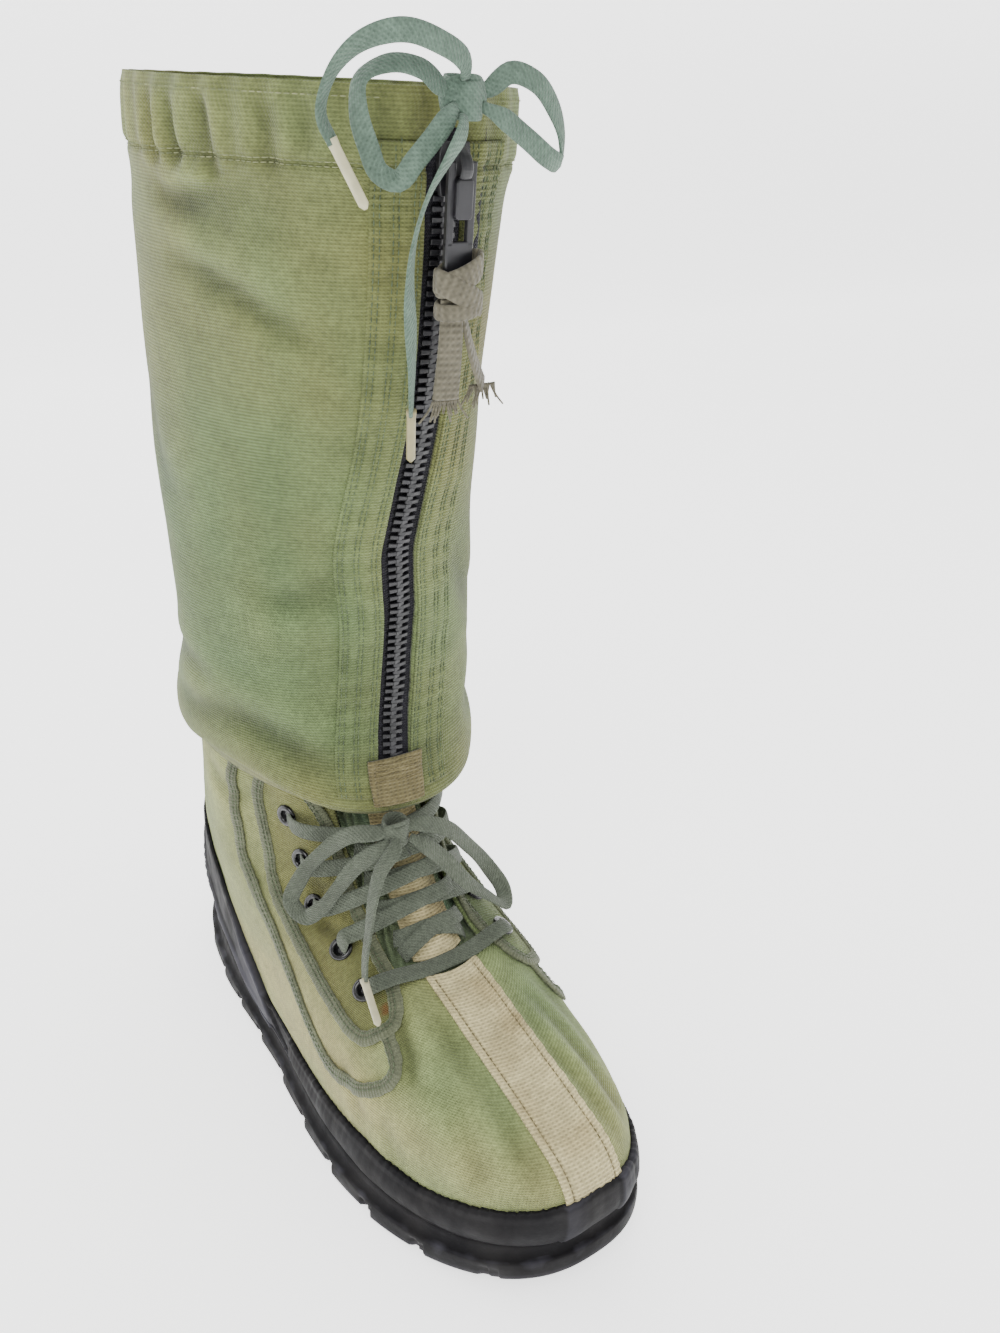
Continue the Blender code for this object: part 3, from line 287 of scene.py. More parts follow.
SHAFT_CREASES = [
    (1.8, 4.2, [(-116, 0.705), (-84, 0.69), (-60, 0.672), (-34, 0.652)]),
    (-0.9, 7.0, [(-116, 0.735), (-84, 0.72), (-60, 0.70), (-38, 0.68)]),
    (1.2, 5.0, [(-130, 0.80), (-97, 0.755), (-74, 0.735)]),
    (3.0, 3.6, [(-88, 0.985), (-87, 0.95), (-85, 0.89), (-82, 0.85)]),
    (2.2, 3.0, [(-96, 0.985), (-95, 0.94), (-93, 0.89), (-91, 0.87)]),
    (-2.2, 4.0, [(-82, 0.90), (-92, 0.865), (-104, 0.838), (-118, 0.83)]),
    (1.0, 6.0, [(-86, 0.855), (-98, 0.82), (-112, 0.80), (-122, 0.80)]),
    (2.4, 3.6, [(-107, 0.985), (-105, 0.93), (-102, 0.87)]),
    (1.8, 3.4, [(-121, 0.985), (-119, 0.92), (-116, 0.87)]),
    (1.2, 4.0, [(-60, 0.98), (-59, 0.93), (-57, 0.87)]),
    (1.2, 3.5, [(-45, 0.98), (-44, 0.92)]),
    (1.3, 4.0, [(60, 0.985), (58, 0.92), (55, 0.86)]),
    (1.6, 4.5, [(84, 0.985), (83, 0.92), (80, 0.87)]),
    (1.4, 4.0, [(120, 0.985), (121, 0.91)]),
    (1.5, 4.0, [(-150, 0.985), (-151, 0.90)]),
    (1.6, 4.5, [(-185, 0.985), (-187, 0.92), (-190, 0.87)]),
    (1.5, 4.0, [(165, 0.985), (167, 0.90)]),
    (2.2, 7.0, [(-128, 0.285), (-98, 0.30), (-72, 0.315), (-48, 0.285), (-30, 0.245)]),
    (1.6, 6.0, [(-140, 0.36), (-110, 0.375), (-84, 0.36)]),
    (2.2, 7.0, [(40, 0.27), (70, 0.30), (105, 0.31), (150, 0.30)]),
    (1.8, 7.0, [(-150, 0.31), (-178, 0.33), (-204, 0.32)]),
    (1.6, 7.0, [(26, 0.50), (46, 0.44), (62, 0.42)]),
    (1.2, 6.0, [(-24, 0.50), (-40, 0.47), (-62, 0.475)]),
    (1.0, 7.0, [(-150, 0.62), (-124, 0.56), (-92, 0.53)]),
    (1.2, 8.0, [(70, 0.72), (110, 0.66), (160, 0.63)]),
    (1.0, 7.0, [(-182, 0.74), (-200, 0.62), (-196, 0.48)]),
]


def smooth(stops, values, at):
    """Values at places between stops, on a cubic through them with Catmull-Rom slopes."""
    stops, values = np.asarray(stops, float), np.asarray(values, float)
    slopes = np.gradient(values, stops, axis=0)
    at = np.clip(np.asarray(at, float), stops[0], stops[-1])
    i = np.clip(np.searchsorted(stops, at, side="right") - 1, 0, len(stops) - 2)
    step = stops[i + 1] - stops[i]
    t = (at - stops[i]) / step
    if values.ndim > 1:
        t, step = t[..., None], step[..., None]
    start = (2 * t**3 - 3 * t**2 + 1) * values[i] + (t**3 - 2 * t**2 + t) * step * slopes[i]
    end = (3 * t**2 - 2 * t**3) * values[i + 1] + (t**3 - t**2) * step * slopes[i + 1]
    return start + end


def table(rows, at, column=1):
    """A column of a table, read against its first on a smooth curve."""
    rows = np.array(rows, float)
    return smooth(rows[:, 0], rows[:, column], at)


def unit(vectors):
    """Vectors at length one."""
    vectors = np.asarray(vectors, float)
    return vectors / np.maximum(np.linalg.norm(vectors, axis=-1, keepdims=True), 1e-12)


def fade(x, start, end):
    """A smooth step from 0 at start to 1 at end."""
    t = np.clip((np.asarray(x, float) - start) / (end - start), 0, 1)
    return t * t * (3 - 2 * t)


def ripple(points, wave, seed, octaves=3):
    """Smooth unevenness from -1 to 1: sines of the place along seeded directions, summed, with each
    octave half as long and half as high."""
    rng = np.random.default_rng(seed)
    total, height = 0.0, 0.0
    for octave in range(octaves):
        for _ in range(4):
            direction = unit(rng.normal(size=3)) * 2 * math.pi / (wave * 0.5**octave)
            total = total + 0.5**octave * np.sin(points @ direction + rng.uniform(0, 2 * math.pi))
            height += 0.5**octave
    return total / height * 1.8


def spring(y):
    """Rise of the sole and foot towards the toe, on a parabola."""
    return TOE_SPRING * np.clip((SPRING_RUN - FOOT_LENGTH / 2 - y) / SPRING_RUN, 0, 1.2) ** 2


def bend(side, y):
    """Sideways curve of the right foot: the toe leans inwards and the inner waist is hollow."""
    toeward = np.clip(-y / (FOOT_LENGTH / 2), 0, 1)
    hollow = np.exp(-(((y - 0.06 * FOOT_LENGTH) / (0.16 * FOOT_LENGTH)) ** 2))
    return 0.045 * BALL_WIDTH * toeward**1.5 - 0.035 * BALL_WIDTH * hollow * (side > 0)


def turn(side, y):
    """Sideways turn of the slack shaft, which carries the zip a little inwards."""
    return SHAFT_TURN * np.clip(0.5 - y / (FOOT_LENGTH / 2), 0, 1)


class Form:
    """A surface of stacked rings. u runs from the heel (-1) along the outer side to the front (0)
    and along the inner side back to the heel (1), as a share of arc. v runs up the rings. Each ring
    is a superellipse whose half width changes from heel to toe."""

    LEVELS, SHARES, AROUND = 121, 161, 361

    def __init__(self, rows, curve):
        at = np.linspace(0, 1, self.LEVELS)
        stops = np.linspace(0, 1, len(rows))
        col = dict(zip(FORM_COLUMNS, smooth(stops, rows, at)[..., None].transpose(1, 0, 2)))
        angle = np.linspace(0, math.pi, self.AROUND)[None, :]
        power = 2 / col["blunt"]
        toeward = (1 + np.sign(np.cos(angle)) * np.abs(np.cos(angle)) ** power) / 2
        halves = np.concatenate([col["heel"], col["heel"], col["waist"], col["ball"], col["ball"]], 1)
        widths = [smooth((0, HEEL_STOP, WAIST_STOP, BALL_STOP, 1), h, t) for h, t in zip(halves, toeward)]
        y = col["back"] + (col["front"] - col["back"]) * toeward
        z = col["back_z"] + (col["front_z"] - col["back_z"]) * toeward
        x = np.stack(widths) * np.sin(angle) ** power
        share = np.linspace(0, 1, self.SHARES)
        self.arc, halves = {}, {}
        for side in (-1, 1):
            ring = np.stack([side * x + curve(side, y), y, z], -1)
            steps = np.linalg.norm(np.diff(ring, axis=1), axis=2)
            arc = np.concatenate([np.zeros((self.LEVELS, 1)), np.cumsum(steps, 1)], 1)
            even = [[np.interp(share * a[-1], a, r[:, k]) for k in range(3)] for a, r in zip(arc, ring)]
            halves[side] = np.array(even).transpose(0, 2, 1)
            self.arc[side] = arc[:, -1]
        self.grid = np.concatenate([halves[-1][:, :0:-1], halves[1]], 1)
        self.creases, self.lift = [], lambda u, v, points: 0.0

    def point(self, u, v):
        """Points of the surface, read from its dense grid on straight lines."""
        u = (np.asarray(u, float) + 1) % 2
        i = np.clip(np.asarray(v, float), 0, 1) * (self.grid.shape[0] - 1)
        j = u / 2 * (self.grid.shape[1] - 1)
        i, j = np.broadcast_arrays(i, j)
        i0 = np.clip(i.astype(int), 0, self.grid.shape[0] - 2)
        j0 = np.clip(j.astype(int), 0, self.grid.shape[1] - 2)
        a, b = (i - i0)[..., None], (j - j0)[..., None]
        low = self.grid[i0, j0] * (1 - b) + self.grid[i0, j0 + 1] * b
        high = self.grid[i0 + 1, j0] * (1 - b) + self.grid[i0 + 1, j0 + 1] * b
        return low * (1 - a) + high * a

    def normal(self, u, v, step=0.015):
        """Outward directions of the surface."""
        along = self.point(u + step, v) - self.point(u - step, v)
        up = self.point(u, v + step) - self.point(u, v - step)
        return unit(np.cross(along, up))

    def offset(self, u, v, out):
        """Points at a distance out from the plain surface."""
        u, v = np.broadcast_arrays(np.asarray(u, float), np.asarray(v, float))
        return self.point(u, v) + self.normal(u, v) * np.broadcast_to(out, u.shape)[..., None]

    def share(self, arc, v):
        """The u of a signed distance along the ring from the front, at a level."""
        at = np.linspace(0, 1, self.LEVELS)
        outer, inner = np.interp(v, at, self.arc[-1]), np.interp(v, at, self.arc[1])
        return np.asarray(arc) / np.where(np.asarray(arc) < 0, outer, inner)

    def arc_at(self, u, v):
        """The signed distance along the ring from the front."""
        at = np.linspace(0, 1, self.LEVELS)
        return u * np.where(u < 0, np.interp(v, at, self.arc[-1]), np.interp(v, at, self.arc[1]))

    def relief(self, u, v):
        """Height of creases and folds. Each crease is a trough exp(-(d/w)^2) with a lower ridge at
        each side of it, where d is the distance to its line, and it dies out at both ends."""
        u, v = np.broadcast_arrays(np.asarray(u, float), np.asarray(v, float))
        points = self.point(u, v)
        total = self.lift(u, v, points) + np.zeros(u.shape)
        flat = points.reshape(-1, 3)
        for depth, width, route in self.creases:
            route = smooth(np.linspace(0, 1, len(route)), route, np.linspace(0, 1, 14))
            line = self.point(self.share(route[:, 0] * MM, route[:, 1]), route[:, 1])
            reach = np.ptp(line, 0).max() / 2 + 8 * width * MM
            near = (np.abs(flat - line.mean(0)).max(1) < reach).nonzero()[0]
            if not len(near):
                continue
            start, run = line[:-1], np.diff(line, axis=0)
            t = np.einsum("nsk,sk->ns", flat[near, None] - start, run) / (run**2).sum(1)
            t = np.clip(t, 0, 1)
            gap = np.linalg.norm(flat[near, None] - start - t[..., None] * run, axis=2)
            best = gap.argmin(1)
            d = gap[np.arange(len(near)), best] / (width * MM)
            along = (best + t[np.arange(len(near)), best]) / len(run)
            strength = depth * MM * (1 - np.abs(2 * along - 1) ** 3)
            shape = 0.42 * np.exp(-(((d - 2.1) / 1.1) ** 2)) - np.exp(-(d**2))
            add = np.zeros(len(flat))
            add[near] = strength * shape
            total = total + add.reshape(u.shape)
        return total

    def cloth(self, u, v, out=0.0):
        """Points on the creased cloth, at a distance out from it."""
        return self.offset(u, v, self.relief(u, v) + out)


def foot_lift(u, v, points):
    """Unevenness of the foot's cloth: slack of a few tenths of a millimetre."""
    return 0.45 * MM * ripple(points, 46 * MM, 3) * fade(v, 0.1, 0.3)


def shaft_lift(u, v, points):
    """Slack of the shaft: long soft folds, gathers at the hem and a doubled hem channel."""
    hem = fade(v, HEM_LEVEL - 0.05, HEM_LEVEL + 0.03)
    arc = SHAFT.arc_at(u, v)
    gather = np.sin(arc / (15 * MM) * 2 * math.pi + 2.2 * np.sin(arc / (41 * MM) + 1.0))
    channel = 0.5 * MM * fade(v, HEM_LEVEL - 0.002, HEM_LEVEL + 0.006)
    tug = 0.5 + 0.5 * np.sin(arc / (9 * MM) * 2 * math.pi + 1.5 * np.sin(arc / (23 * MM)))
    seam = -(0.45 + 0.55 * tug) * MM * np.exp(-(((v - HEM_LEVEL) / 0.008) ** 2))
    slack = 0.9 * MM * ripple(points, 95 * MM, 8, 2) * fade(v, 0.1, 0.25)
    return slack + 0.6 * MM * gather * hem + channel + seam


def foot_form():
    """The last's surface, from the sole to the ankle."""
    size = (FOOT_LENGTH / 2, FOOT_LENGTH / 2, ANKLE_HEIGHT, ANKLE_HEIGHT) + (BALL_WIDTH / 2,) * 3 + (1,)
    form = Form(np.array(FOOT_RINGS) * size, bend)
    low = np.clip(1.6 - form.grid[..., 2] / (0.35 * ANKLE_HEIGHT), 0, 1)
    form.grid[..., 2] += spring(form.grid[..., 1]) * low
    form.creases, form.lift = FOOT_CREASES, foot_lift
    return form


def shaft_form(foot):
    """The shaft's surface, from the lip that hugs the ankle to the hem."""
    size = (FOOT_LENGTH / 2, FOOT_LENGTH / 2, BOOT_HEIGHT, BOOT_HEIGHT) + (SHAFT_WIDTH / 2,) * 3 + (1,)
    form = Form(np.array(SHAFT_RINGS) * size, turn)
    share = np.linspace(-1, 1, form.grid.shape[1])
    lip = foot.offset(share, LIP_LEVEL, -0.6 * MM)
    rows = np.linspace(0, 1, 9)[:-1, None, None]
    form.grid = np.concatenate([lip + (form.grid[0] - lip) * rows, form.grid])
    levels = len(form.grid)
    hung = (1 - fade(np.linspace(0, 1, levels), 0.10, 0.34)) * (np.arange(levels) > 6)
    outer_side = np.exp(-(((share + 0.37) / 0.18) ** 2))
    form.grid[..., 2] += DROOP_RISE * hung[:, None] * outer_side[None, :]
    for side in (-1, 1):
        form.arc[side] = np.interp(np.linspace(-8, 120, levels), np.arange(121), form.arc[side])
    form.LEVELS = levels
    form.creases, form.lift = SHAFT_CREASES, shaft_lift
    return form


FOOT = foot_form()
SHAFT = shaft_form(FOOT)


# Mesh making


def wash_of(points):
    """How the dye has worn, from 0, yellowed, to 1, still blue-green: slow unevenness, greener
    low on the leg and on the toe, yellower at the quarters and just above the rubber."""
    x, y, z = points.T
    leg = fade(z, 0.16, 0.19)
    low = leg * (1 - fade(z, 0.20, 0.34))
    toe = (1 - leg) * (1 - fade(y, -0.10, -0.05))
    quarter = (1 - leg) * np.exp(-((y / 0.06) ** 2)) * fade(np.abs(x), 0.02, 0.04)
    edge = (1 - leg) * np.exp(-(((z - 0.052) / 0.012) ** 2))
    slow = 0.20 * ripple(points, 150 * MM, 17, 2) + 0.10 * ripple(points, 50 * MM, 18, 2)
    return np.clip(0.42 + slow + 0.30 * low + 0.20 * toe - 0.15 * quarter - 0.22 * edge, 0, 1)


def rust_of(points):
    """A spot of rust beside the lowest outer eyelet, with a torn edge: 0.75 within 0.8 mm, falling
    to 0 at 3.2 mm."""
    arc, level = RUST_AT
    share = FOOT.share(arc * MM, level)
    place = FOOT.cloth(share, level, 1 * MM)
    reach = np.linalg.norm((points - place) * (1, 1, 0.6), axis=1) * (1 + 0.5 * ripple(points, 3 * MM, 21))
    return 0.75 * (1 - fade(reach, 0.8 * MM, 3.2 * MM))


def make_piece(
    name, points, faces, finish_name, slot, body=BODY, uv=None, uv_faces=None, fold=None, replaces=()
):
    """A finished object from arrays: points, lists of face arrays, a UV for each corner, and the
    fold attribute, which is above 0.5 on a ridge and below it in a trough. The cloth's painted shade
    and highlight come from it, and the rubber is paler where it is high."""
    points = np.asarray(points, np.float32).reshape(-1, 3)
    mesh = bpy.data.meshes.new(name)
    mesh.vertices.add(len(points))
    mesh.vertices.foreach_set("co", points.ravel())
    corners = np.concatenate([f.ravel() for f in faces]).astype(np.int32)
    counts = np.concatenate([np.full(len(f), f.shape[1]) for f in faces])
    mesh.loops.add(len(corners))
    mesh.loops.foreach_set("vertex_index", corners)
    mesh.polygons.add(len(counts))
    mesh.polygons.foreach_set("loop_start", (np.cumsum(counts) - counts).astype(np.int32))
    if uv is not None:
        index = corners % len(uv) if uv_faces is None else np.concatenate([f.ravel() for f in uv_faces])
        layer = mesh.uv_layers.new(name="UVMap")
        layer.uv.foreach_set("vector", np.asarray(uv, np.float32)[index].ravel())
    mesh.update(calc_edges=True)
    values = {"fold": fold}
    if slot == "canvas":
        values.update(wash=wash_of(points), stain=rust_of(points))
    for key, value in values.items():
        if value is not None:
            attribute = mesh.attributes.new(key, "FLOAT", "POINT")
            flat = np.asarray(value, np.float32).ravel()
            attribute.data.foreach_set("value", np.resize(flat, len(points)))
    mesh.shade_smooth()
    mesh.materials.append(finish(finish_name))
    obj = bpy.data.objects.new(name, mesh)
    bpy.context.scene.collection.objects.link(obj)
    if replaces:
        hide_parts(*replaces)
    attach(obj, body)
    return obj


def wall(name, outer, inner, finish_name, slot, wrap=False, keep=None, fold=None, replaces=(), uv=None):
    """A cloth wall on a grid: an outer face, an inner face and a rim round every open edge. Where
    the grid wraps, its UV has one more column than its points."""
    uv = flat_uv(outer, wrap) if uv is None else uv
    rows, cols = outer.shape[:2]
    spans = cols if wrap else cols - 1
    i, j = np.mgrid[: rows - 1, :spans]
    k = (j + 1) % cols
    corner = np.stack([i * cols + j, i * cols + k, (i + 1) * cols + k, (i + 1) * cols + j])
    width = uv.shape[1]
    flat = np.stack([i * width + j, i * width + j + 1, (i + 1) * width + j + 1, (i + 1) * width + j])
    keep = np.ones(i.shape, bool) if keep is None else keep
    padded = np.pad(keep, 1)
    if wrap:
        padded[1:-1, 0], padded[1:-1, -1] = keep[:, -1], keep[:, 0]
    gone = [~padded[:-2, 1:-1], ~padded[1:-1, 2:], ~padded[2:, 1:-1], ~padded[1:-1, :-2]]
    count = rows * cols
    faces = [corner[:, keep].T, corner[::-1][:, keep].T + count]
    uv_faces = [flat[:, keep].T, flat[::-1][:, keep].T]
    for side in range(4):
        a, b = corner[side], corner[(side + 1) % 4]
        p, q = flat[side], flat[(side + 1) % 4]
        open_side = keep & gone[side]
        faces.append(np.stack([b, a, a + count, b + count], -1)[open_side])
        uv_faces.append(np.stack([q, p, p, q], -1)[open_side])
    points = np.concatenate([outer.reshape(-1, 3), inner.reshape(-1, 3)])
    used, back = np.unique(np.concatenate([f.ravel() for f in faces]), return_inverse=True)
    ends = np.cumsum([f.size for f in faces])[:-1]
    faces = [part.reshape(-1, 4) for part in np.split(back, ends)]
    fold = None if fold is None else np.concatenate([fold.ravel(), fold.ravel()])[used]
    return make_piece(
        name, points[used], faces, finish_name, slot, BODY, uv.reshape(-1, 2), uv_faces, fold, replaces
    )


def flat_uv(points, wrap=False):
    """UV in metres: distance along each row from its middle, and distance up the middle column."""
    grid = np.concatenate([points, points[:, :1]], 1) if wrap else points
    along = np.cumsum(np.linalg.norm(np.diff(grid, axis=1), axis=2), 1)
    along = np.concatenate([np.zeros((len(grid), 1)), along], 1)
    along = along - along[:, -1:] / 2
    up = np.cumsum(np.linalg.norm(np.diff(grid, axis=0), axis=2), 0)
    up = np.concatenate([np.zeros((1, grid.shape[1])), up]).mean(1, keepdims=True) + 0 * along
    return np.stack([along, up], -1)


def band_quads(rows, around):
    """Quads of a grid whose rows close on themselves."""
    i, j = np.mgrid[: rows - 1, :around]
    here, there, k = i * around, (i + 1) * around, (j + 1) % around
    return np.stack([here + j, here + k, there + k, there + j], -1).reshape(-1, 4)


def distance_along(route):
    """Distance of each point from the route's start."""
    return np.concatenate([[0], np.cumsum(np.linalg.norm(np.diff(route, axis=0), axis=1))])


def at_distance(at, run, values):
    """Values of a route read at distances along it."""
    return np.stack([np.interp(at, run, values[:, k]) for k in range(3)], 1)


def turned(route, facing, degrees):
    """Facing directions turned about a route by angles spread evenly along it."""
    along = unit(np.gradient(route, axis=0))
    out = unit(facing - (facing * along).sum(1)[:, None] * along)
    spread = smooth(np.linspace(0, 1, len(degrees)), degrees, np.linspace(0, 1, len(route)))
    angle = np.radians(spread)[:, None]
    return out * np.cos(angle) + np.cross(along, out) * np.sin(angle)


def ribbon_parts(route, facing, width, thick, sides=12):
    """A flat strap: a flattened superellipse carried along a route. Returns points, faces and UV,
    with u across and v along in metres. Its ends are closed by flat caps."""
    along = unit(np.gradient(route, axis=0))
    across = unit(np.cross(facing, along))
    out = unit(np.cross(along, across))
    angle = np.linspace(0, 2 * math.pi, sides, endpoint=False) + math.pi / sides
    x = np.sign(np.cos(angle)) * np.abs(np.cos(angle)) ** 0.75 * np.asarray(width)[..., None] / 2
    y = np.sign(np.sin(angle)) * np.abs(np.sin(angle)) ** 0.75 * np.asarray(thick)[..., None] / 2
    x, y = np.broadcast_to(x, (len(route), sides)), np.broadcast_to(y, (len(route), sides))
    points = route[:, None] + across[:, None] * x[..., None] + out[:, None] * y[..., None]
    ends = np.arange(sides)[None]
    faces = [band_quads(len(route), sides), ends[:, ::-1], (len(route) - 1) * sides + ends]
    uv = np.stack([x, np.broadcast_to(distance_along(route)[:, None], x.shape)], -1)
    return points.reshape(-1, 3), faces, uv.reshape(-1, 2)


def joined(parts):
    """Several parts of points, faces and UV as one."""
    start, points, faces, uv = 0, [], [], []
    for p, f, t in parts:
        points.append(p)
        faces += [a + start for a in f]
        uv.append(t)
        start += len(p)
    return np.concatenate(points), faces, np.concatenate(uv)


def even_route(points, spacing):
    """A smooth route through points in metres, with even steps."""
    points = np.array(points, float)
    chord = distance_along(points)
    fine = smooth(chord, points, np.linspace(0, chord[-1], 400))
    run = distance_along(fine)
    return at_distance(np.linspace(0, run[-1], max(6, int(round(run[-1] / spacing)) + 1)), run, fine)


def stitch_row(form, arcs, levels, out, pitch=None):
    """Stitches along a line of arcs and levels on the creased cloth: for each one its middle, its
    direction and the cloth's normal."""
    pitch = pitch or sizes().stitch_pitch
    u = form.share(arcs, levels)
    line = form.cloth(u, levels, out)
    run = distance_along(line)
    at = np.arange(pitch / 2, run[-1], pitch)
    step = at_distance(at + pitch / 3, run, line) - at_distance(at - pitch / 3, run, line)
    return at_distance(at, run, line), unit(step), unit(at_distance(at, run, form.normal(u, levels)))


def make_stitches(name, rows, finish_name, slot):
    """Thread stitches as one mesh: each is a rounded bar of five squares, half sunk at its ends."""
    s = sizes()
    place, along, normal = (np.concatenate([row[k] for row in rows]) for k in range(3))
    across = unit(np.cross(normal, along))
    station = np.array((-0.5, -0.34, 0.0, 0.34, 0.5)) * s.stitch_pitch * 0.82
    size = np.array((0.3, 0.85, 1.0, 0.85, 0.3)) * s.stitch_width / 2
    height = np.array((-0.6, 0.2, 0.5, 0.2, -0.6)) * s.stitch_width / 2
    corner = np.array(((-1, -0.4), (1, -0.4), (0.6, 1), (-0.6, 1)))
    points = (
        place[:, None, None]
        + along[:, None, None] * station[None, :, None, None]
        + across[:, None, None] * (size[:, None] * corner[:, 0])[None, ..., None]
        + normal[:, None, None] * (height[:, None] + size[:, None] * corner[:, 1])[None, ..., None]
    )
    cell = np.concatenate([band_quads(5, 4), [[3, 2, 1, 0]], [[16, 17, 18, 19]]])
    faces = (cell[None] + 20 * np.arange(len(place))[:, None, None]).reshape(-1, 4)
    make_piece(name, points, [faces], finish_name, slot)


# Materials


def node(tree, kind, inputs=None, **settings):
    """Add a node with its settings, and set or link its inputs."""
    made = tree.nodes.new(kind)
    for key, value in settings.items():
        setattr(made, key, value)
    for key, value in (inputs or {}).items():
        if isinstance(value, bpy.types.NodeSocket):
            tree.links.new(value, made.inputs[key])
        else:
            made.inputs[key].default_value = value
    return made


def new_finish(name):
    """An empty material with its node tree and its Principled shader."""
    finish = bpy.data.materials.new(name)
    finish.use_nodes = True
    tree = finish.node_tree
    return finish, tree, tree.nodes["Principled BSDF"]


def plain_weave(tree, pitch_x, pitch_y):
    """Height of a plain weave on the UV map: weft ribs, sin(y), each notched by the warp: times
    0.6 + 0.4 sin(x)."""
    uv = node(tree, "ShaderNodeTexCoord").outputs["UV"]
    scale = (2 * math.pi / pitch_x, 2 * math.pi / pitch_y, 1)
    place = node(tree, "ShaderNodeMapping", {0: uv, "Scale": scale}).outputs[0]
    parts = node(tree, "ShaderNodeSeparateXYZ", {0: place})
    x = node(tree, "ShaderNodeMath", {0: parts.outputs[0]}, operation="SINE").outputs[0]
    y = node(tree, "ShaderNodeMath", {0: parts.outputs[1]}, operation="SINE").outputs[0]
    notch = node(tree, "ShaderNodeMath", {0: x, 1: 0.4, 2: 0.6}, operation="MULTIPLY_ADD").outputs[0]
    both = node(tree, "ShaderNodeMath", {0: notch, 1: y}, operation="MULTIPLY").outputs[0]
    return node(tree, "ShaderNodeMath", {0: both, 1: 0.5, 2: 0.5}, operation="MULTIPLY_ADD").outputs[0]


def braid(tree, pitch, slope):
    """Height of a flat braid on the UV map: ribs that slant across it, sin(y + slope x), each
    notched by the strands that cross it, sin(y - slope x)."""
    uv = node(tree, "ShaderNodeTexCoord").outputs["UV"]
    parts = node(tree, "ShaderNodeSeparateXYZ", {0: uv})
    waves = []
    for lean in (-slope, slope):
        shift = {0: parts.outputs[0], 1: lean * 2 * math.pi / pitch}
        across = node(tree, "ShaderNodeMath", shift, operation="MULTIPLY").outputs[0]
        turns = {0: parts.outputs[1], 1: 2 * math.pi / pitch, 2: across}
        slant = node(tree, "ShaderNodeMath", turns, operation="MULTIPLY_ADD").outputs[0]
        waves.append(node(tree, "ShaderNodeMath", {0: slant}, operation="SINE").outputs[0])
    lead = node(tree, "ShaderNodeMath", {0: waves[0], 1: 0.45, 2: 0.55}, operation="MULTIPLY_ADD").outputs[0]
    both = node(tree, "ShaderNodeMath", {0: lead, 1: waves[1]}, operation="MULTIPLY").outputs[0]
    return node(tree, "ShaderNodeMath", {0: both, 1: 0.5, 2: 0.5}, operation="MULTIPLY_ADD").outputs[0]


def patches(tree, size, low=0.4, high=0.62, detail=3.0, to=(0.0, 1.0)):
    """Patches of a real size on the object, from noise between two of its values, carried to a range."""
    place = node(tree, "ShaderNodeTexCoord").outputs["Object"]
    noise = node(tree, "ShaderNodeTexNoise", {"Vector": place, "Scale": 1 / size, "Detail": detail})
    ramp = {"Value": noise.outputs["Fac"], "From Min": low, "From Max": high}
    ramp.update({"To Min": to[0], "To Max": to[1]})
    return node(tree, "ShaderNodeMapRange", ramp, clamp=True).outputs[0]


def layered(tree, tone, *coats):
    """A tone with other colours laid over it in turn, each by its own factor from 0 to 1."""
    for factor, over in coats:
        tone = node(tree, "ShaderNodeMix", {"Factor": factor, 6: tone, 7: over}, data_type="RGBA").outputs[2]
    return tone


def shaded(tree, tone, factor, low, high):
    """A tone made darker and lighter by a factor: times low where it is 0, and high where it is 1."""
    share = node(tree, "ShaderNodeMapRange", {"Value": factor, "To Min": low, "To Max": high}).outputs[0]
    grey = node(tree, "ShaderNodeCombineColor", {k: share for k in range(3)}).outputs[0]
    parts = {"Factor": 1.0, 6: tone, 7: grey}
    return node(tree, "ShaderNodeMix", parts, data_type="RGBA", blend_type="MULTIPLY").outputs[2]


def cloth_finish(
    name, base, faded, cool, weave, shade, fuzz=0.12, roughness=0.9, bump=0.8, folded=True, washed=False
):
    """Washed woven cloth: the base colour with faded and cool patches, painted shade between its threads
    and in its troughs, a painted highlight on its ridges, and a short nap that catches the light."""
    finish, tree, shader = new_finish(name)
    if washed:
        wash = node(tree, "ShaderNodeAttribute", attribute_name="wash").outputs["Fac"]
        stain = node(tree, "ShaderNodeAttribute", attribute_name="stain").outputs["Fac"]
        low = node(tree, "ShaderNodeMapRange", {"Value": wash, "From Max": 0.5}, clamp=True).outputs[0]
        high = node(tree, "ShaderNodeMapRange", {"Value": wash, "From Min": 0.5}, clamp=True).outputs[0]
        tone = layered(tree, faded, (low, base), (high, cool), (stain, paint("#6a3f1c")))
    else:
        low, high = patches(tree, 45 * MM, 0.35, 0.65), patches(tree, 30 * MM, 0.5, 0.75)
        tone = layered(tree, faded, (low, base), (high, cool))
    height = weave(tree)
    specks = patches(tree, 1.8 * MM, 0.3, 0.7, 3.0)
    tone = shaded(tree, tone, patches(tree, 9 * MM, 0.3, 0.7, 4.0), 0.88, 1.12)
    tone = shaded(tree, tone, specks, 0.82, 1.18)
    # Painted shade between the threads and painted light on them, from the weave's height.
    tone = shaded(tree, tone, height, 1 - shade, 1 + shade * 0.6)
    # Painted shade in the troughs and painted highlight on the ridges, from the fold attribute.
    if folded:
        fold = node(tree, "ShaderNodeAttribute", attribute_name="fold").outputs["Fac"]
        tone = shaded(tree, tone, fold, 0.45, 1.55)
    tree.links.new(tone, shader.inputs["Base Color"])
    bumps = node(tree, "ShaderNodeBump", {"Height": height, "Strength": bump, "Distance": 0.5 * MM})
    grain = node(
        tree, "ShaderNodeBump",
        {"Height": specks, "Strength": 0.25, "Distance": 0.3 * MM, "Normal": bumps.outputs[0]},
    )
    tree.links.new(grain.outputs[0], shader.inputs["Normal"])
    shader.inputs["Roughness"].default_value = roughness
    shader.inputs["Specular IOR Level"].default_value = 0.25
    shader.inputs["Sheen Weight"].default_value = fuzz
    shader.inputs["Sheen Roughness"].default_value = 0.5
    return finish


def scaled(rgba, share):
    """A colour made darker or lighter by a share."""
    return tuple(min(1.0, c * share) for c in rgba[:3]) + (1.0,)


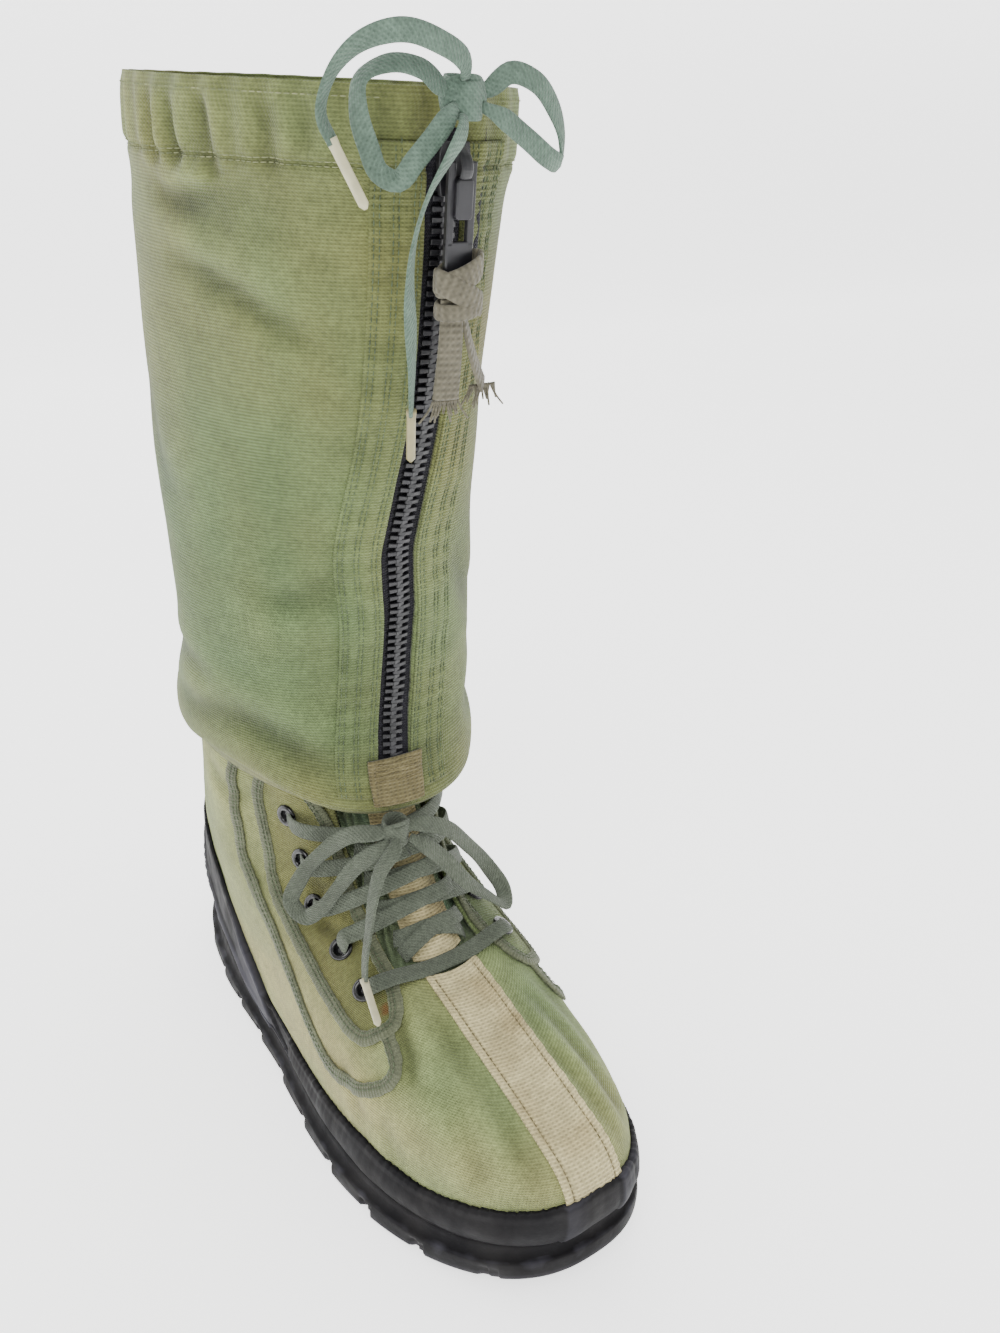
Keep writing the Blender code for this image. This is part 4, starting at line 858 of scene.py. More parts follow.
def washed_duck():
    """Plain-woven cotton duck, dyed and washed: matt, mottled green and yellow, with a fine grain.
    Its thread is 0.6 mm and is drawn at 1.4 mm so that it shows."""
    return cloth_finish(
        "washed cotton duck", tint("canvas"), tint("canvas_faded"), tint("canvas_cool"),
        lambda tree: plain_weave(tree, 1.4 * MM, 1.25 * MM), 0.27, bump=0.9, washed=True,
    )


def lit_foot_duck():
    """The same cloth on the foot, made paler as painted light, and a little less yellow."""
    return cloth_finish(
        "washed cotton duck of the foot, painted lighter", paint("#7b8655"), paint("#8f8b5b"), paint("#6d865d"),
        lambda tree: plain_weave(tree, 1.4 * MM, 1.25 * MM), 0.27, bump=0.9, washed=True,
    )


def gathered_duck():
    """The tongue's lighter cloth, which kept its blue-green dye out of the sun. Its thread is drawn
    at 1.1 mm so that it shows."""
    return cloth_finish(
        "shaded cotton duck", paint("#68775a"), paint("#74805f"), paint("#5b735c"),
        lambda tree: plain_weave(tree, 1.1 * MM, 1.1 * MM), 0.16,
    )


def webbing_of(name, base, stain, faded_share):
    """Woven webbing with coarse ribs. They are about 1 mm apart, and are drawn at 2.1 by 1.6 mm so
    that they show."""
    return cloth_finish(
        name, base, scaled(base, faded_share), stain,
        lambda tree: plain_weave(tree, 2.1 * MM, 1.6 * MM), 0.36, bump=1.0,
    )


def cotton_webbing():
    """Woven tan webbing with a slight warm stain."""
    return webbing_of("woven tan webbing", tint("webbing"), paint("#9a8a62"), 0.86)


def soiled_shaded_webbing():
    """The same webbing at the zip's foot, gone brown with handling and darker with painted shade."""
    return webbing_of("soiled tan webbing", paint("#6a6243"), paint("#51482c"), 0.8)


def edge_tape():
    """Thin twill tape, folded over the edges and sewn: grey-green, with a painted highlight on its rims."""
    base = tint("binding")
    return cloth_finish(
        "folded twill tape", base, scaled(base, 1.16), scaled(base, 0.88),
        lambda tree: plain_weave(tree, 1.0 * MM, 1.4 * MM), 0.14,
    )


def braided_finish(name, base, pitch):
    """A flat braid of thick yarns: each strand is lit on top and dark between. The strands are drawn
    a pitch apart, coarser than the real ones, so that they show."""
    return cloth_finish(
        name, base, scaled(base, 1.14), scaled(base, 0.9),
        lambda tree: braid(tree, pitch, 0.9), 0.2, fuzz=0.1, bump=0.8, folded=False,
    )


def twill_tape():
    """Soft grey cotton tape, matt, with a weave drawn at about 2 mm so that it shows."""
    base = tint("tape")
    return cloth_finish(
        "soft cotton tape", base, scaled(base, 1.12), scaled(base, 0.9),
        lambda tree: plain_weave(tree, 2.0 * MM, 2.2 * MM), 0.26, bump=0.9, folded=False,
    )


def mottled_finish(name, size, first, second, roughness=0.5, low=0.4, high=0.62, detail=3.0):
    """A finish of one tone broken by patches of another, of a real size."""
    finish, tree, shader = new_finish(name)
    tone = layered(tree, first, (patches(tree, size, low, high, detail), second))
    tree.links.new(tone, shader.inputs["Base Color"])
    shader.inputs["Roughness"].default_value = roughness
    return finish, tree, shader


def sewing_thread():
    """Spun sewing thread, dark green and matt."""
    return mottled_finish("spun sewing thread", 6 * MM, tint("thread"), scaled(tint("thread"), 1.6), 0.85)[0]


def hem_thread():
    """The thread of the hem, faded to the cloth's own tone."""
    return mottled_finish("faded sewing thread", 6 * MM, paint("#626a48"), paint("#868a62"), 0.85)[0]


def pale_thread():
    """The same thread in tan, for the webbing."""
    return mottled_finish("tan sewing thread", 6 * MM, paint("#5c543b"), paint("#7a7050"), 0.85)[0]


def moulded_rubber():
    """Vulcanised black rubber: bluish black with grey dust in patches, and paler where it is raised."""
    finish, tree, shader = new_finish("moulded black rubber")
    dust = patches(tree, 26 * MM, 0.42, 0.75, 6.0, (0.0, 0.45))
    fold = node(tree, "ShaderNodeAttribute", attribute_name="fold").outputs["Fac"]
    # Paler on raised ribs, seams and edges, from the fold attribute.
    ridge = {"Value": fold, "From Min": 0.55, "From Max": 1.0, "To Max": 0.6}
    paleness = node(tree, "ShaderNodeMapRange", ridge, clamp=True).outputs[0]
    tone = layered(tree, tint("rubber"), (dust, paint("#2a2827")), (paleness, paint("#47464e")))
    tree.links.new(tone, shader.inputs["Base Color"])
    tree.links.new(patches(tree, 12 * MM, 0.3, 0.7, 5.0, (0.55, 0.78)), shader.inputs["Roughness"])
    fine = patches(tree, 0.9 * MM, 0.3, 0.7, 2.0)
    coarse = patches(tree, 9 * MM, 0.3, 0.7, 3.0)
    bump = node(tree, "ShaderNodeBump", {"Height": coarse, "Strength": 0.3, "Distance": 0.6 * MM})
    bump = node(
        tree, "ShaderNodeBump",
        {"Height": fine, "Strength": 0.2, "Distance": 0.12 * MM, "Normal": bump.outputs[0]},
    )
    tree.links.new(bump.outputs[0], shader.inputs["Normal"])
    shader.inputs["Specular IOR Level"].default_value = 0.15
    return finish


def moulded_plastic():
    """Injection-moulded acetal of the zip: black, smooth, with a soft shine and a little dust."""
    finish, tree, shader = mottled_finish(
        "moulded black acetal", 14 * MM, tint("plastic"), paint("#222126"), low=0.45, high=0.8, detail=4.0
    )
    tree.links.new(patches(tree, 5 * MM, to=(0.32, 0.5)), shader.inputs["Roughness"])
    return finish


def zip_ribbon():
    """Woven black polyester tape, dull, with fine ribs drawn about 1 mm apart so that they show."""
    return cloth_finish(
        "woven zip tape", paint("#19181e"), paint("#24232a"), paint("#131318"),
        lambda tree: plain_weave(tree, 0.9 * MM, 1.2 * MM), 0.3, fuzz=0.1, folded=False,
    )


def enamelled_metal():
    """Stoved black enamel on brass: deep gloss with small dull scuffs."""
    finish, tree, shader = mottled_finish(
        "black enamelled eyelet", 3 * MM, paint("#08080a"), paint("#2a2a2c"), low=0.6, high=0.8
    )
    tree.links.new(patches(tree, 4 * MM, to=(0.14, 0.32)), shader.inputs["Roughness"])
    shader.inputs["Coat Weight"].default_value = 0.2
    shader.inputs["Coat Roughness"].default_value = 0.12
    return finish


def dipped_tip(name, base):
    """A cord tip dipped in acetate: smooth and yellowed."""
    return mottled_finish(name, 5 * MM, base, scaled(base, 0.85), 0.4)[0]


def pressed_felt():
    """Pressed wool felt: pale, matt and slightly hairy."""
    finish, tree, shader = mottled_finish(
        "pressed wool felt", 2.5 * MM, paint("#8d8a7c"), paint("#767367"), 0.95
    )
    nap = {"Height": patches(tree, 1.5 * MM), "Strength": 0.5, "Distance": 0.4 * MM}
    bump = node(tree, "ShaderNodeBump", nap)
    tree.links.new(bump.outputs[0], shader.inputs["Normal"])
    shader.inputs["Sheen Weight"].default_value = 0.4
    return finish


FINISHES = {
    "hem_thread": hem_thread, "lit_foot_duck": lit_foot_duck,
    "duck": washed_duck, "tongue": gathered_duck, "webbing": cotton_webbing, "soiled_shaded": soiled_shaded_webbing,
    "edge": edge_tape,
    "lace": lambda: braided_finish("flat braided lace", tint("lace"), 1.7 * MM),
    "drawstring": lambda: braided_finish("flat braided drawstring", tint("drawstring"), 1.8 * MM),
    "tape": twill_tape, "thread": sewing_thread, "pale_thread": pale_thread, "rubber": moulded_rubber,
    "plastic": moulded_plastic, "zip": zip_ribbon, "enamel": enamelled_metal, "felt": pressed_felt,
    "aglet": lambda: dipped_tip("cream acetate tip", tint("aglet")),
    "olive_aglet": lambda: dipped_tip("olive acetate tip", paint("#8f8760")),
}
MADE = {}


def finish(name):
    """A material of the boot, made once."""
    if name not in MADE:
        MADE[name] = FINISHES[name]()
    return MADE[name]


# Rubber


def sole_bottom(y):
    """Height of the tread: flat under heel and ball, raised at the arch and sprung at the toe."""
    arch = np.exp(-(((y - 0.10 * FOOT_LENGTH) / (0.11 * FOOT_LENGTH)) ** 4))
    return spring(y) + ARCH_RISE * arch


def groove(y, edge=1.2 * MM):
    """Share of a groove's depth at a place along the sole: 1 inside a groove and 0 on a lug."""
    s = sizes()
    phase = (y - TREAD_START + s.groove_pitch / 2) % s.groove_pitch - s.groove_pitch / 2
    return 1 - fade(np.abs(phase), s.groove_width / 2 - edge / 2, s.groove_width / 2 + edge / 2)


def sole_outline(out, y_nodes):
    """The sole's outline offset in plan: x of the outer and of the inner side at the same y."""
    u = np.linspace(-1, 1, 1441)[:-1]
    ring = FOOT.point(u, 0.0)
    along = np.roll(ring, -1, 0) - np.roll(ring, 1, 0)
    normal = unit(np.stack([along[:, 1], -along[:, 0], 0 * u], 1))
    ring = ring + normal * out
    front = ring[:, 1].argmin()
    back = ring[:, 1].argmax()
    order = np.roll(np.arange(len(u)), -back)
    split = (front - back) % len(u)
    outer, inner = ring[order[: split + 1]], ring[np.append(order[split:], order[0])]
    y = ring[front, 1] + (ring[back, 1] - ring[front, 1]) * y_nodes
    x_outer = np.interp(y, outer[::-1, 1], outer[::-1, 0])
    x_inner = np.interp(y, inner[:, 1], inner[:, 0])
    return x_outer, x_inner, y


# Side of the sole: share of its height, how far out as a share of the edge, how pale the rubber is there.
SOLE_SIDE = [
    (0.00, 0.72, 0.5), (0.04, 0.90, 0.7), (0.12, 1.00, 0.7), (0.30, 1.02, 0.5), (0.50, 0.99, 0.5),
    (0.56, 0.92, 0.65), (0.60, 0.74, 0.5), (0.66, 0.60, 0.4), (0.76, 0.55, 0.42), (0.86, 0.52, 0.5),
    (0.94, 0.42, 0.55), (1.00, 0.20, 0.45),
]


def make_sole():
    """The sole: a grid under the foot whose height is the tread, and a side profile carried round
    the outline. Lug ends stand out at the side and the grooves cut in between them."""
    s = sizes()
    rows, cols = 421, 33
    node_y = (1 - np.cos(np.linspace(0, math.pi, rows))) / 2
    profile = smooth(np.linspace(0, 1, len(SOLE_SIDE)), SOLE_SIDE, np.linspace(0, 1, 34))
    rings, paleness_rows = [], []
    for share, out, paleness in profile:
        x0, x1, y = sole_outline(RAND_FOOT_THICK + 0.5 * MM + out * SOLE_EDGE - SOLE_EDGE / 2, node_y)
        bottom = sole_bottom(y)
        cut = groove(y) * (1 - fade(share, 0.30, 0.46))
        saw = ((y - TREAD_START) / s.groove_pitch) % 1.0
        inset = cut * 2.6 * MM - (saw - 0.5) * 1.6 * MM * (1 - fade(share, 0.35, 0.5))
        taper = np.sin(np.pi * node_y) ** 0.5
        low = bottom + cut * s.groove_depth * (share < 0.02)
        z = low + (SOLE_THICK + spring(y) - 0.5 * MM - low) * share
        left = np.stack([x0 + inset * taper, y, z], 1)
        right = np.stack([x1 - inset * taper, y, z], 1)
        ring = np.concatenate([left[::-1], right[1:-1]])
        rings.append(ring)
        paleness_rows.append(np.full(len(ring), paleness) + 0.25 * ripple(ring, 14 * MM, 5) * (0.3 < share < 0.62))
    side = np.stack(rings)
    side_rows, around = side.shape[:2]
    faces = [band_quads(side_rows, around)]
    points, fold = [side.reshape(-1, 3)], [np.concatenate(paleness_rows)]
    total = side_rows * around
    for level, flip in ((0, True), (side_rows - 1, False)):
        ring = side[level]
        left, right = ring[:rows][::-1], np.concatenate([ring[rows - 1 : rows], ring[rows:], ring[:1]])
        across = np.linspace(0, 1, cols)[None, 1:-1, None]
        inner = left[1:-1, None] * (1 - across) + right[1:-1, None] * across
        if flip:
            x = np.abs(inner[..., 0] - (left[1:-1, None, 0] + right[1:-1, None, 0]) / 2)
            inner[..., 2] = sole_bottom(inner[..., 1]) + groove(inner[..., 1] + 0.25 * x) * s.groove_depth
            blend = fade(np.minimum(across, 1 - across)[..., 0], 0.0, 0.08)
            edge_z = left[1:-1, None, 2]
            inner[..., 2] = edge_z * (1 - blend) + inner[..., 2] * blend
        index = np.zeros((rows, cols), int)
        start = level * around
        index[:, 0] = start + np.arange(rows)[::-1]
        index[:, -1] = start + np.concatenate([[rows - 1], np.arange(rows, around), [0]])
        index[1:-1, 1:-1] = total + np.arange(inner.shape[0] * inner.shape[1]).reshape(inner.shape[:2])
        index[0, :], index[-1, :] = index[0, 0], index[-1, 0]
        quads = np.stack([index[:-1, :-1], index[:-1, 1:], index[1:, 1:], index[1:, :-1]], -1)
        quads = quads[:, :, ::-1] if flip else quads
        tips = [np.array([list(dict.fromkeys(q)) for q in quads[end].tolist()]) for end in (0, -1)]
        faces += [quads[1:-1].reshape(-1, 4), *tips]
        points.append(inner.reshape(-1, 3))
        fold.append(np.full(inner.shape[0] * inner.shape[1], 0.5))
        total += inner.shape[0] * inner.shape[1]
    return make_piece(
        "lugged_sole", np.concatenate(points), faces, "rubber", "rubber",
        fold=np.concatenate(fold), replaces=("outsole",),
    )


def rand_top(u):
    """Level of the rubber's top edge at a share of the ring."""
    rows = np.array(RAND_TOP)
    return np.interp(np.abs(u), rows[:, 0], rows[:, 1])


def make_rand():
    """Rubber band round the foot: thick at the sole, thin and slightly ragged at the top edge, with
    moulded ribs that slant along the heel, a lap step at the waist and seams at the toe."""
    cols, rows = 720, 44
    u = np.linspace(-1, 1, cols + 1)[:-1]
    rise = np.linspace(0, 1, rows)[:, None]
    top = rand_top(u)
    place = FOOT.point(u, top)
    ragged = 0.004 * np.sin(u * 900) * np.sin(u * 311 + 1) + 0.0025 * ripple(place, 9 * MM, 2)
    v = rise * (top + ragged)[None, :]
    u = u[None, :] + 0 * v
    base = FOOT.point(u, v)
    thick = RAND_FOOT_THICK + (RAND_TOP_THICK - RAND_FOOT_THICK) * np.clip(rise * 1.25, 0, 1) + 0 * v
    height = base[..., 2] - FOOT.point(u, 0 * v)[..., 2]
    share = np.abs(u)
    front = 1 - fade(share, 0.48, 0.56)
    bead = 1.9 * MM * np.sin(np.pi * np.clip(rise, 0, 1) ** 0.8) * front
    bead = bead - 0.8 * MM * np.exp(-(((height - 2 * MM) / (1.6 * MM)) ** 2))
    heel = fade(share, 0.56, 0.66)
    ribs = 0.0
    for start, slope in ((0.50, 46), (0.545, 62), (0.60, 78)):
        line = (share - start) * slope * MM * 2.2
        ribs = ribs + 0.9 * MM * np.exp(-(((height - line) / (1.8 * MM)) ** 2)) * heel
    lap = -0.9 * MM * fade(share, 0.50, 0.505) * (1 - fade(share, 0.57, 0.575))
    lap_at = 0.582 + 0.10 * (height / (20 * MM) - 0.9) * (1 - rise)
    lap = lap + 1.8 * MM * fade(share, lap_at, lap_at + 0.009) * (1 - fade(share, 0.60, 0.72))
    seams = 0.0
    for seam, depth in ((-0.041, 0.9), (0.030, 1.1), (0.062, 0.6)):
        seams = seams + depth * MM * (fade(u, seam, seam + 0.004) - fade(u, seam + 0.004, seam + 0.05))
    rim = -0.6 * MM * fade(rise, 0.93, 1.0)
    soft = 0.25 * MM * ripple(base, 30 * MM, 12)
    shape = bead + ribs + lap + seams + soft
    outer = FOOT.offset(u, v, 0.35 * MM + thick + shape + rim)
    inner = FOOT.offset(u, v, 0.1 * MM + 0 * v)
    outer[0, :, 2] = inner[0, :, 2] = FOOT.point(u[0], v[0])[:, 2] + 0.1 * MM
    # Paler on the ribs, seams, lap and top edge, through the fold attribute.
    fold = 0.42 + (ribs + seams + np.maximum(lap, 0)) / (3.0 * MM) + 0.16 * fade(rise, 0.94, 0.99)
    return wall(
        "rubber_rand", outer, inner, "rubber", "rubber", True,
        fold=fold, replaces=("rand",),
    )


# Cloth


def ring_columns(form, v, half_gap, count, between, shift=0.0):
    """The u of each column at a level: between columns inside the gap, the rest spread round."""
    inner, outer = form.share(shift + half_gap, v), form.share(shift - half_gap, v)
    t = np.linspace(0, 1, count)
    t = t - 0.05 * np.sin(2 * np.pi * t)
    near = form.share(shift + half_gap * np.arange(between + 1) / (between + 1), v)
    far = form.share(shift - half_gap * np.arange(between, 0, -1) / (between + 1), v)
    inner_side = inner + (1 - inner) * t
    return np.concatenate([near, inner_side, (-1 + (outer + 1) * t)[1:], far])


def shade_of(relief, scale=2.6 * MM):
    """The fold attribute of painted shade and highlight: 0.5 on level cloth, less in troughs and more on
    ridges.
    """
    return np.clip(0.5 + relief / (2 * scale), 0, 1)


def make_foot_canvas():
    """The canvas foot: one wall open at the throat, the ankle and underneath."""
    levels = np.concatenate([np.linspace(0, 0.6, 96), np.linspace(0.6, 1.0, 60)[1:]])
    columns = [ring_columns(FOOT, v, np.interp(v, *np.array(THROAT).T) * MM, 112, 22) for v in levels]
    u = np.stack(columns)
    v = np.repeat(levels[:, None], u.shape[1], 1)
    relief = FOOT.relief(u, v)
    under = fade(v, 0.03, 0.12)
    outer = FOOT.offset(u, v, relief * under)
    inner = FOOT.offset(u, v, relief * under - sizes().wall)
    j = np.mgrid[: len(levels) - 1, : u.shape[1]][1]
    half = 23
    keep = (levels[:-1][:, None] < 0.6 - 1e-6) | ((j >= half) & (j < u.shape[1] - half))
    # The foot takes a paler copy of the leg's cloth: painted light.
    return wall(
        "canvas_foot", outer, inner, "lit_foot_duck", "canvas", True, keep,
        shade_of(relief), ("upper",),
    )


def make_shaft():
    """The canvas leg: one wall with a slit down its front, its hem turned in at the top and its foot
    tucked in under the slump."""
    levels = np.concatenate([
        np.linspace(0, 0.30, 54), np.linspace(0.30, 0.86, 66)[1:], np.linspace(0.86, 1, 40)[1:],
    ])
    gap = ZIP_SLIT / 2
    u = np.stack([ring_columns(SHAFT, v, gap, 118, 5, zip_arc(v)) for v in levels])
    v = np.repeat(levels[:, None], u.shape[1], 1)
    relief = SHAFT.relief(u, v) * fade(v, 0.0, 0.1)
    roll = fade(v, 0.985, 1.0)
    outer = SHAFT.offset(u, v, relief - 0.8 * MM * roll)
    inner = SHAFT.offset(u, v, relief - sizes().wall + 0.5 * MM * roll)
    j = np.mgrid[: len(levels) - 1, : u.shape[1]][1]
    low = levels[:-1][:, None]
    slit = (j < 6) | (j >= u.shape[1] - 6)
    keep = ~(slit & (low > 0.15) & (low < 0.955))
    return wall(
        "canvas_leg", outer, inner, "duck", "canvas", True, keep,
        shade_of(relief), ("shaft",),
    )


def overlay(name, form, arcs, levels, low, high, finish_name, slot, replaces=(), dome=0.0, fold_gain=1.0):
    """A sheet sewn on the creased cloth: rows of arcs at levels, between two heights, crowned by
    dome across its width and pressed down at its edges."""
    arcs, levels = np.broadcast_arrays(np.asarray(arcs, float), np.asarray(levels, float))
    u = form.share(arcs, levels)
    relief = form.relief(u, levels)
    x = np.linspace(-1, 1, u.shape[1])[None, :]
    crown = dome * (1 - x**4)
    outer = form.offset(u, levels, relief + high + crown)
    inner = form.offset(u, levels, relief + low)
    # Painted shade in the troughs and painted highlight on the ridges, from the relief, made stronger by
    # fold_gain.
    return wall(
        name, outer, inner, finish_name, slot,
        fold=shade_of(relief * fold_gain), replaces=replaces,
    )


def bound_edge(name, form, arcs, levels, lift, inner, replaces=()):
    """Tape folded over an edge: a low rounded strap on the creased cloth, drawn in at each stitch, with
    painted shade along its two stitch rows, which lie towards its inner edge, and a painted highlight
    on its rims."""
    s = sizes()
    u = form.share(arcs, levels)
    line = form.cloth(u, levels, lift + s.edge_height * 0.35)
    turns = distance_along(line) * 2 * math.pi
    pucker = 1 + 0.05 * np.sin(turns / (2 * s.stitch_pitch)) + 0.04 * np.sin(turns / (11 * MM))
    points, faces, uv = ribbon_parts(
        line, form.normal(u, levels), s.edge_width * pucker, s.edge_height * pucker, 28
    )
    angle = np.linspace(0, 2 * math.pi, 28, endpoint=False) + math.pi / 28
    across = np.cos(angle) / 2
    # Painted highlight on the rims and painted shade along the two stitch rows.
    fold = 0.5 + 0.22 * np.abs(np.cos(angle)) ** 3
    for row in BINDING_ROWS:
        fold = fold - 0.3 * np.exp(-(((across - row * inner) / 0.05) ** 2))
    fold = np.tile(np.clip(fold, 0, 1), len(line))
    return make_piece(name, points, faces, "edge", "binding", uv=uv, fold=fold, replaces=replaces)


def panel_outline(side):
    """The eyelet panel's edge, from the top of its near edge down round its foot and up again."""
    rows = np.array(EYESTAY)
    near, far = rows[::-1, [1, 0]], rows[:, [2, 0]]
    path = np.concatenate([near, far])
    t = np.linspace(0, 1, len(path))
    path = smooth(t, path, np.linspace(0, 1, 190))
    for _ in range(3):
        path[1:-1] = (path[:-2] + path[1:-1] + path[2:]) / 3
    return path[:, 0] * side * MM, path[:, 1]


def make_panels():
    """Eyelet panels, their bound edges and the quarter's bound edge on both sides."""
    s = sizes()
    rows = np.array(EYESTAY)
    levels = np.linspace(rows[0, 0], rows[-1, 0], 110)[:, None]
    near, far = table(rows, levels, 1) * MM, table(rows, levels, 2) * MM
    route = np.array(QUARTER_EDGE)
    route = smooth(np.linspace(0, 1, len(route)), route, np.linspace(0, 1, 210))
    stitches = []
    for side, word in ((-1, "lateral"), (1, "medial")):
        arcs = side * (near + (far - near) * np.linspace(0, 1, 46)[None, :])
        if side < 0:
            arcs = arcs[:, ::-1]
        overlay(
            f"eyelet_panel_{word}", FOOT, arcs, levels, s.seat, s.panel, "duck", "canvas",
            (f"eyestay_{word}",), fold_gain=1.2,
        )
        edge_arcs, edge_levels = panel_outline(side)
        bound_edge(f"panel_binding_{word}", FOOT, edge_arcs, edge_levels, s.panel * 0.7, side)
        arcs = route[:, 0] * side * MM
        bound_edge(f"quarter_binding_{word}", FOOT, arcs, route[:, 1], 0.1 * MM, -side, (f"binding_{word}",))
        panel = (edge_arcs, edge_levels, s.panel * 0.7, side)
        quarter = (arcs, route[:, 1], 0.1 * MM, -side)
        for path_arcs, path_levels, lift, inner in (panel, quarter):
            for row in BINDING_ROWS:
                a, v = shifted(FOOT, path_arcs, path_levels, row * inner * s.edge_width)
                stitches.append(stitch_row(FOOT, a, v, lift + s.edge_height * (0.87 - 0.5 * row**2)))
    make_stitches("binding_stitches", stitches, "thread", "binding")


def shifted(form, arcs, levels, by):
    """A line on the form moved sideways along the surface by a distance."""
    u = form.share(arcs, levels)
    line = form.point(u, levels)
    normal = form.normal(u, levels)
    across = unit(np.cross(normal, unit(np.gradient(line, axis=0))))
    step = 1e-3
    along_u = (form.point(u + step, levels) - form.point(u - step, levels)) / (2 * step)
    along_v = (form.point(u, levels + step) - form.point(u, levels - step)) / (2 * step)
    a, b, c = (along_u**2).sum(1), (along_u * along_v).sum(1), (along_v**2).sum(1)
    p, q = (along_u * across).sum(1) * by, (along_v * across).sum(1) * by
    det = a * c - b * b
    du, dv = (p * c - q * b) / det, (q * a - p * b) / det
    return form.arc_at(u + du, levels + dv), levels + dv


def tongue_lift(arc, level):
    """How far the tongue's face lies from the foot's form: crowned between the throat's edges."""
    share = np.clip(np.abs(arc) / (np.interp(level, *np.array(THROAT).T) * MM), 0, 1)
    rise = np.clip((level - 0.60) / 0.05, 0, 1) * np.clip((1.0 - level) / 0.15, 0, 1)
    return TONGUE_CROWN * rise * np.cos(share * math.pi / 2) ** 2 - 4.7 * MM


def make_tongue():
    """The gathered tongue and its centre webbing: lengthwise gathers under the laces."""
    levels = np.linspace(0.56, 1.0, 120)[:, None]
    half = np.interp(levels, *np.array(THROAT).T) * MM + TONGUE_LAP
    arcs = half * np.linspace(-1, 1, 90)[None, :]
    u = FOOT.share(arcs, levels)
    points = FOOT.point(u, levels)
    off_centre = fade(np.abs(arcs), 12 * MM, 18 * MM)
    drift = 2.5 * np.sin(levels * 14) + 3 * ripple(points, 30 * MM, 21)
    gathers = np.sin(arcs / (5.2 * MM) * 2 * math.pi + drift)
    relief = 0.9 * MM * gathers * off_centre + 0.5 * MM * ripple(points, 18 * MM, 4)
    relief = relief * fade(levels, 0.6, 0.66)
    top = tongue_lift(arcs, levels)
    outer = FOOT.offset(u, levels, top + relief - 0.6 * MM)
    inner = FOOT.offset(u, levels, top - 3 * MM + 0 * relief)
    wall(
        "gathered_tongue", outer, inner, "tongue", "canvas",
        fold=shade_of(relief, 1.6 * MM), replaces=("tongue",),
    )
    levels = np.linspace(0.63, 0.95, 70)[:, None]
    arcs = sizes().webbing_width / 2 * np.linspace(-1, 1, 30)[None, :] + 0 * levels
    u = FOOT.share(arcs, levels)
    buckle = 0.5 * MM * ripple(FOOT.point(u, levels), 22 * MM, 31)
    top = tongue_lift(arcs, levels) + 1.2 * MM + buckle
    fold_edge = 0.5 * MM * np.exp(-(((np.abs(arcs) - 10.4 * MM) / (1.0 * MM)) ** 2))
    outer = FOOT.offset(u, levels, top + 0.9 * MM - fold_edge)
    inner = FOOT.offset(u, levels, top - 0.5 * MM)
    wall(
        "tongue_webbing", outer, inner, "webbing", "webbing",
        fold=shade_of(buckle - fold_edge, 1.6 * MM), replaces=("tongue_strip",),
    )


def make_toe_webbing():
    """Tan webbing down the middle of the toe, its edges folded under and sewn."""
    s = sizes()
    levels = np.linspace(0.165, 0.60, 150)[:, None]
    half = s.webbing_width / 2
    arcs = half * np.linspace(-1, 1, 44)[None, :] + 0 * levels
    u = FOOT.share(arcs, levels)
    relief = FOOT.relief(u, levels)
    row = 0.55 * MM * np.exp(-(((np.abs(arcs) - half + 3.4 * MM) / (0.7 * MM)) ** 2))
    pucker = 0.25 * MM * np.sin(levels * 260) * fade(np.abs(arcs), half - 5 * MM, half)
    outer = FOOT.offset(u, levels, relief + 1.35 * MM - row + pucker)
    inner = FOOT.offset(u, levels, relief + 0.1 * MM)
    wall(
        "toe_webbing", outer, inner, "webbing", "webbing",
        fold=shade_of(relief - row), replaces=("toe_strip",),
    )
    line = np.linspace(0.17, 0.595, 160)
    rows = [stitch_row(FOOT, 0 * line + side * (half - 3.4 * MM), line, 1.0 * MM) for side in (-1, 1)]
    make_stitches("toe_webbing_stitches", rows, "pale_thread", "webbing")


# Eyelets and laces


def make_eyelets():
    """Rolled eyelets: a ring whose section rises, rolls over and drops into the bore, on each seat,
    with the bore shut by a black disc of the enamel, painted shade in the hole."""
    s = sizes()
    # The last step runs in to the middle: a black disc shuts the bore as painted shade in the hole.
    profile = np.array([
        (5.2, 0.0), (5.35, 0.5), (5.15, 1.0), (4.6, 1.42), (3.9, 1.55), (3.2, 1.38), (2.75, 0.95),
        (2.55, 0.4), (2.5, -0.2), (0.01, -0.2),
    ]) * MM
    angle = np.linspace(0, 2 * math.pi, 40, endpoint=False)
    for side, word in ((-1, "lateral"), (1, "medial")):
        for number, (arc, level) in enumerate(EYELETS, 1):
            u = FOOT.share(side * arc * MM, level)
            normal = FOOT.normal(u, level)
            seat = FOOT.cloth(u, level, s.panel + 0.35 * MM)
            across = unit(np.cross(normal, (0, 0, 1)))
            up = np.cross(across, normal)
            ring = np.cos(angle)[:, None] * across + np.sin(angle)[:, None] * up
            points = seat + profile[:, None, :1] * ring + profile[:, None, 1:] * normal
            n = len(angle)
            quads = band_quads(len(profile), n)[:, [1, 0, 3, 2]]
            cap = (len(profile) - 1) * n + np.arange(n)[None]
            base = np.arange(n)[None, ::-1]
            direction = np.cross(ring[0], ring[1]) @ normal
            faces = [part if direction > 0 else part[:, ::-1] for part in (quads, cap, base)]
            make_piece(
                f"rolled_eyelet_{word}_{number}", points, faces, "enamel", "eyelet_metal",
                replaces=(f"eyelet_{word}_{number}",),
            )


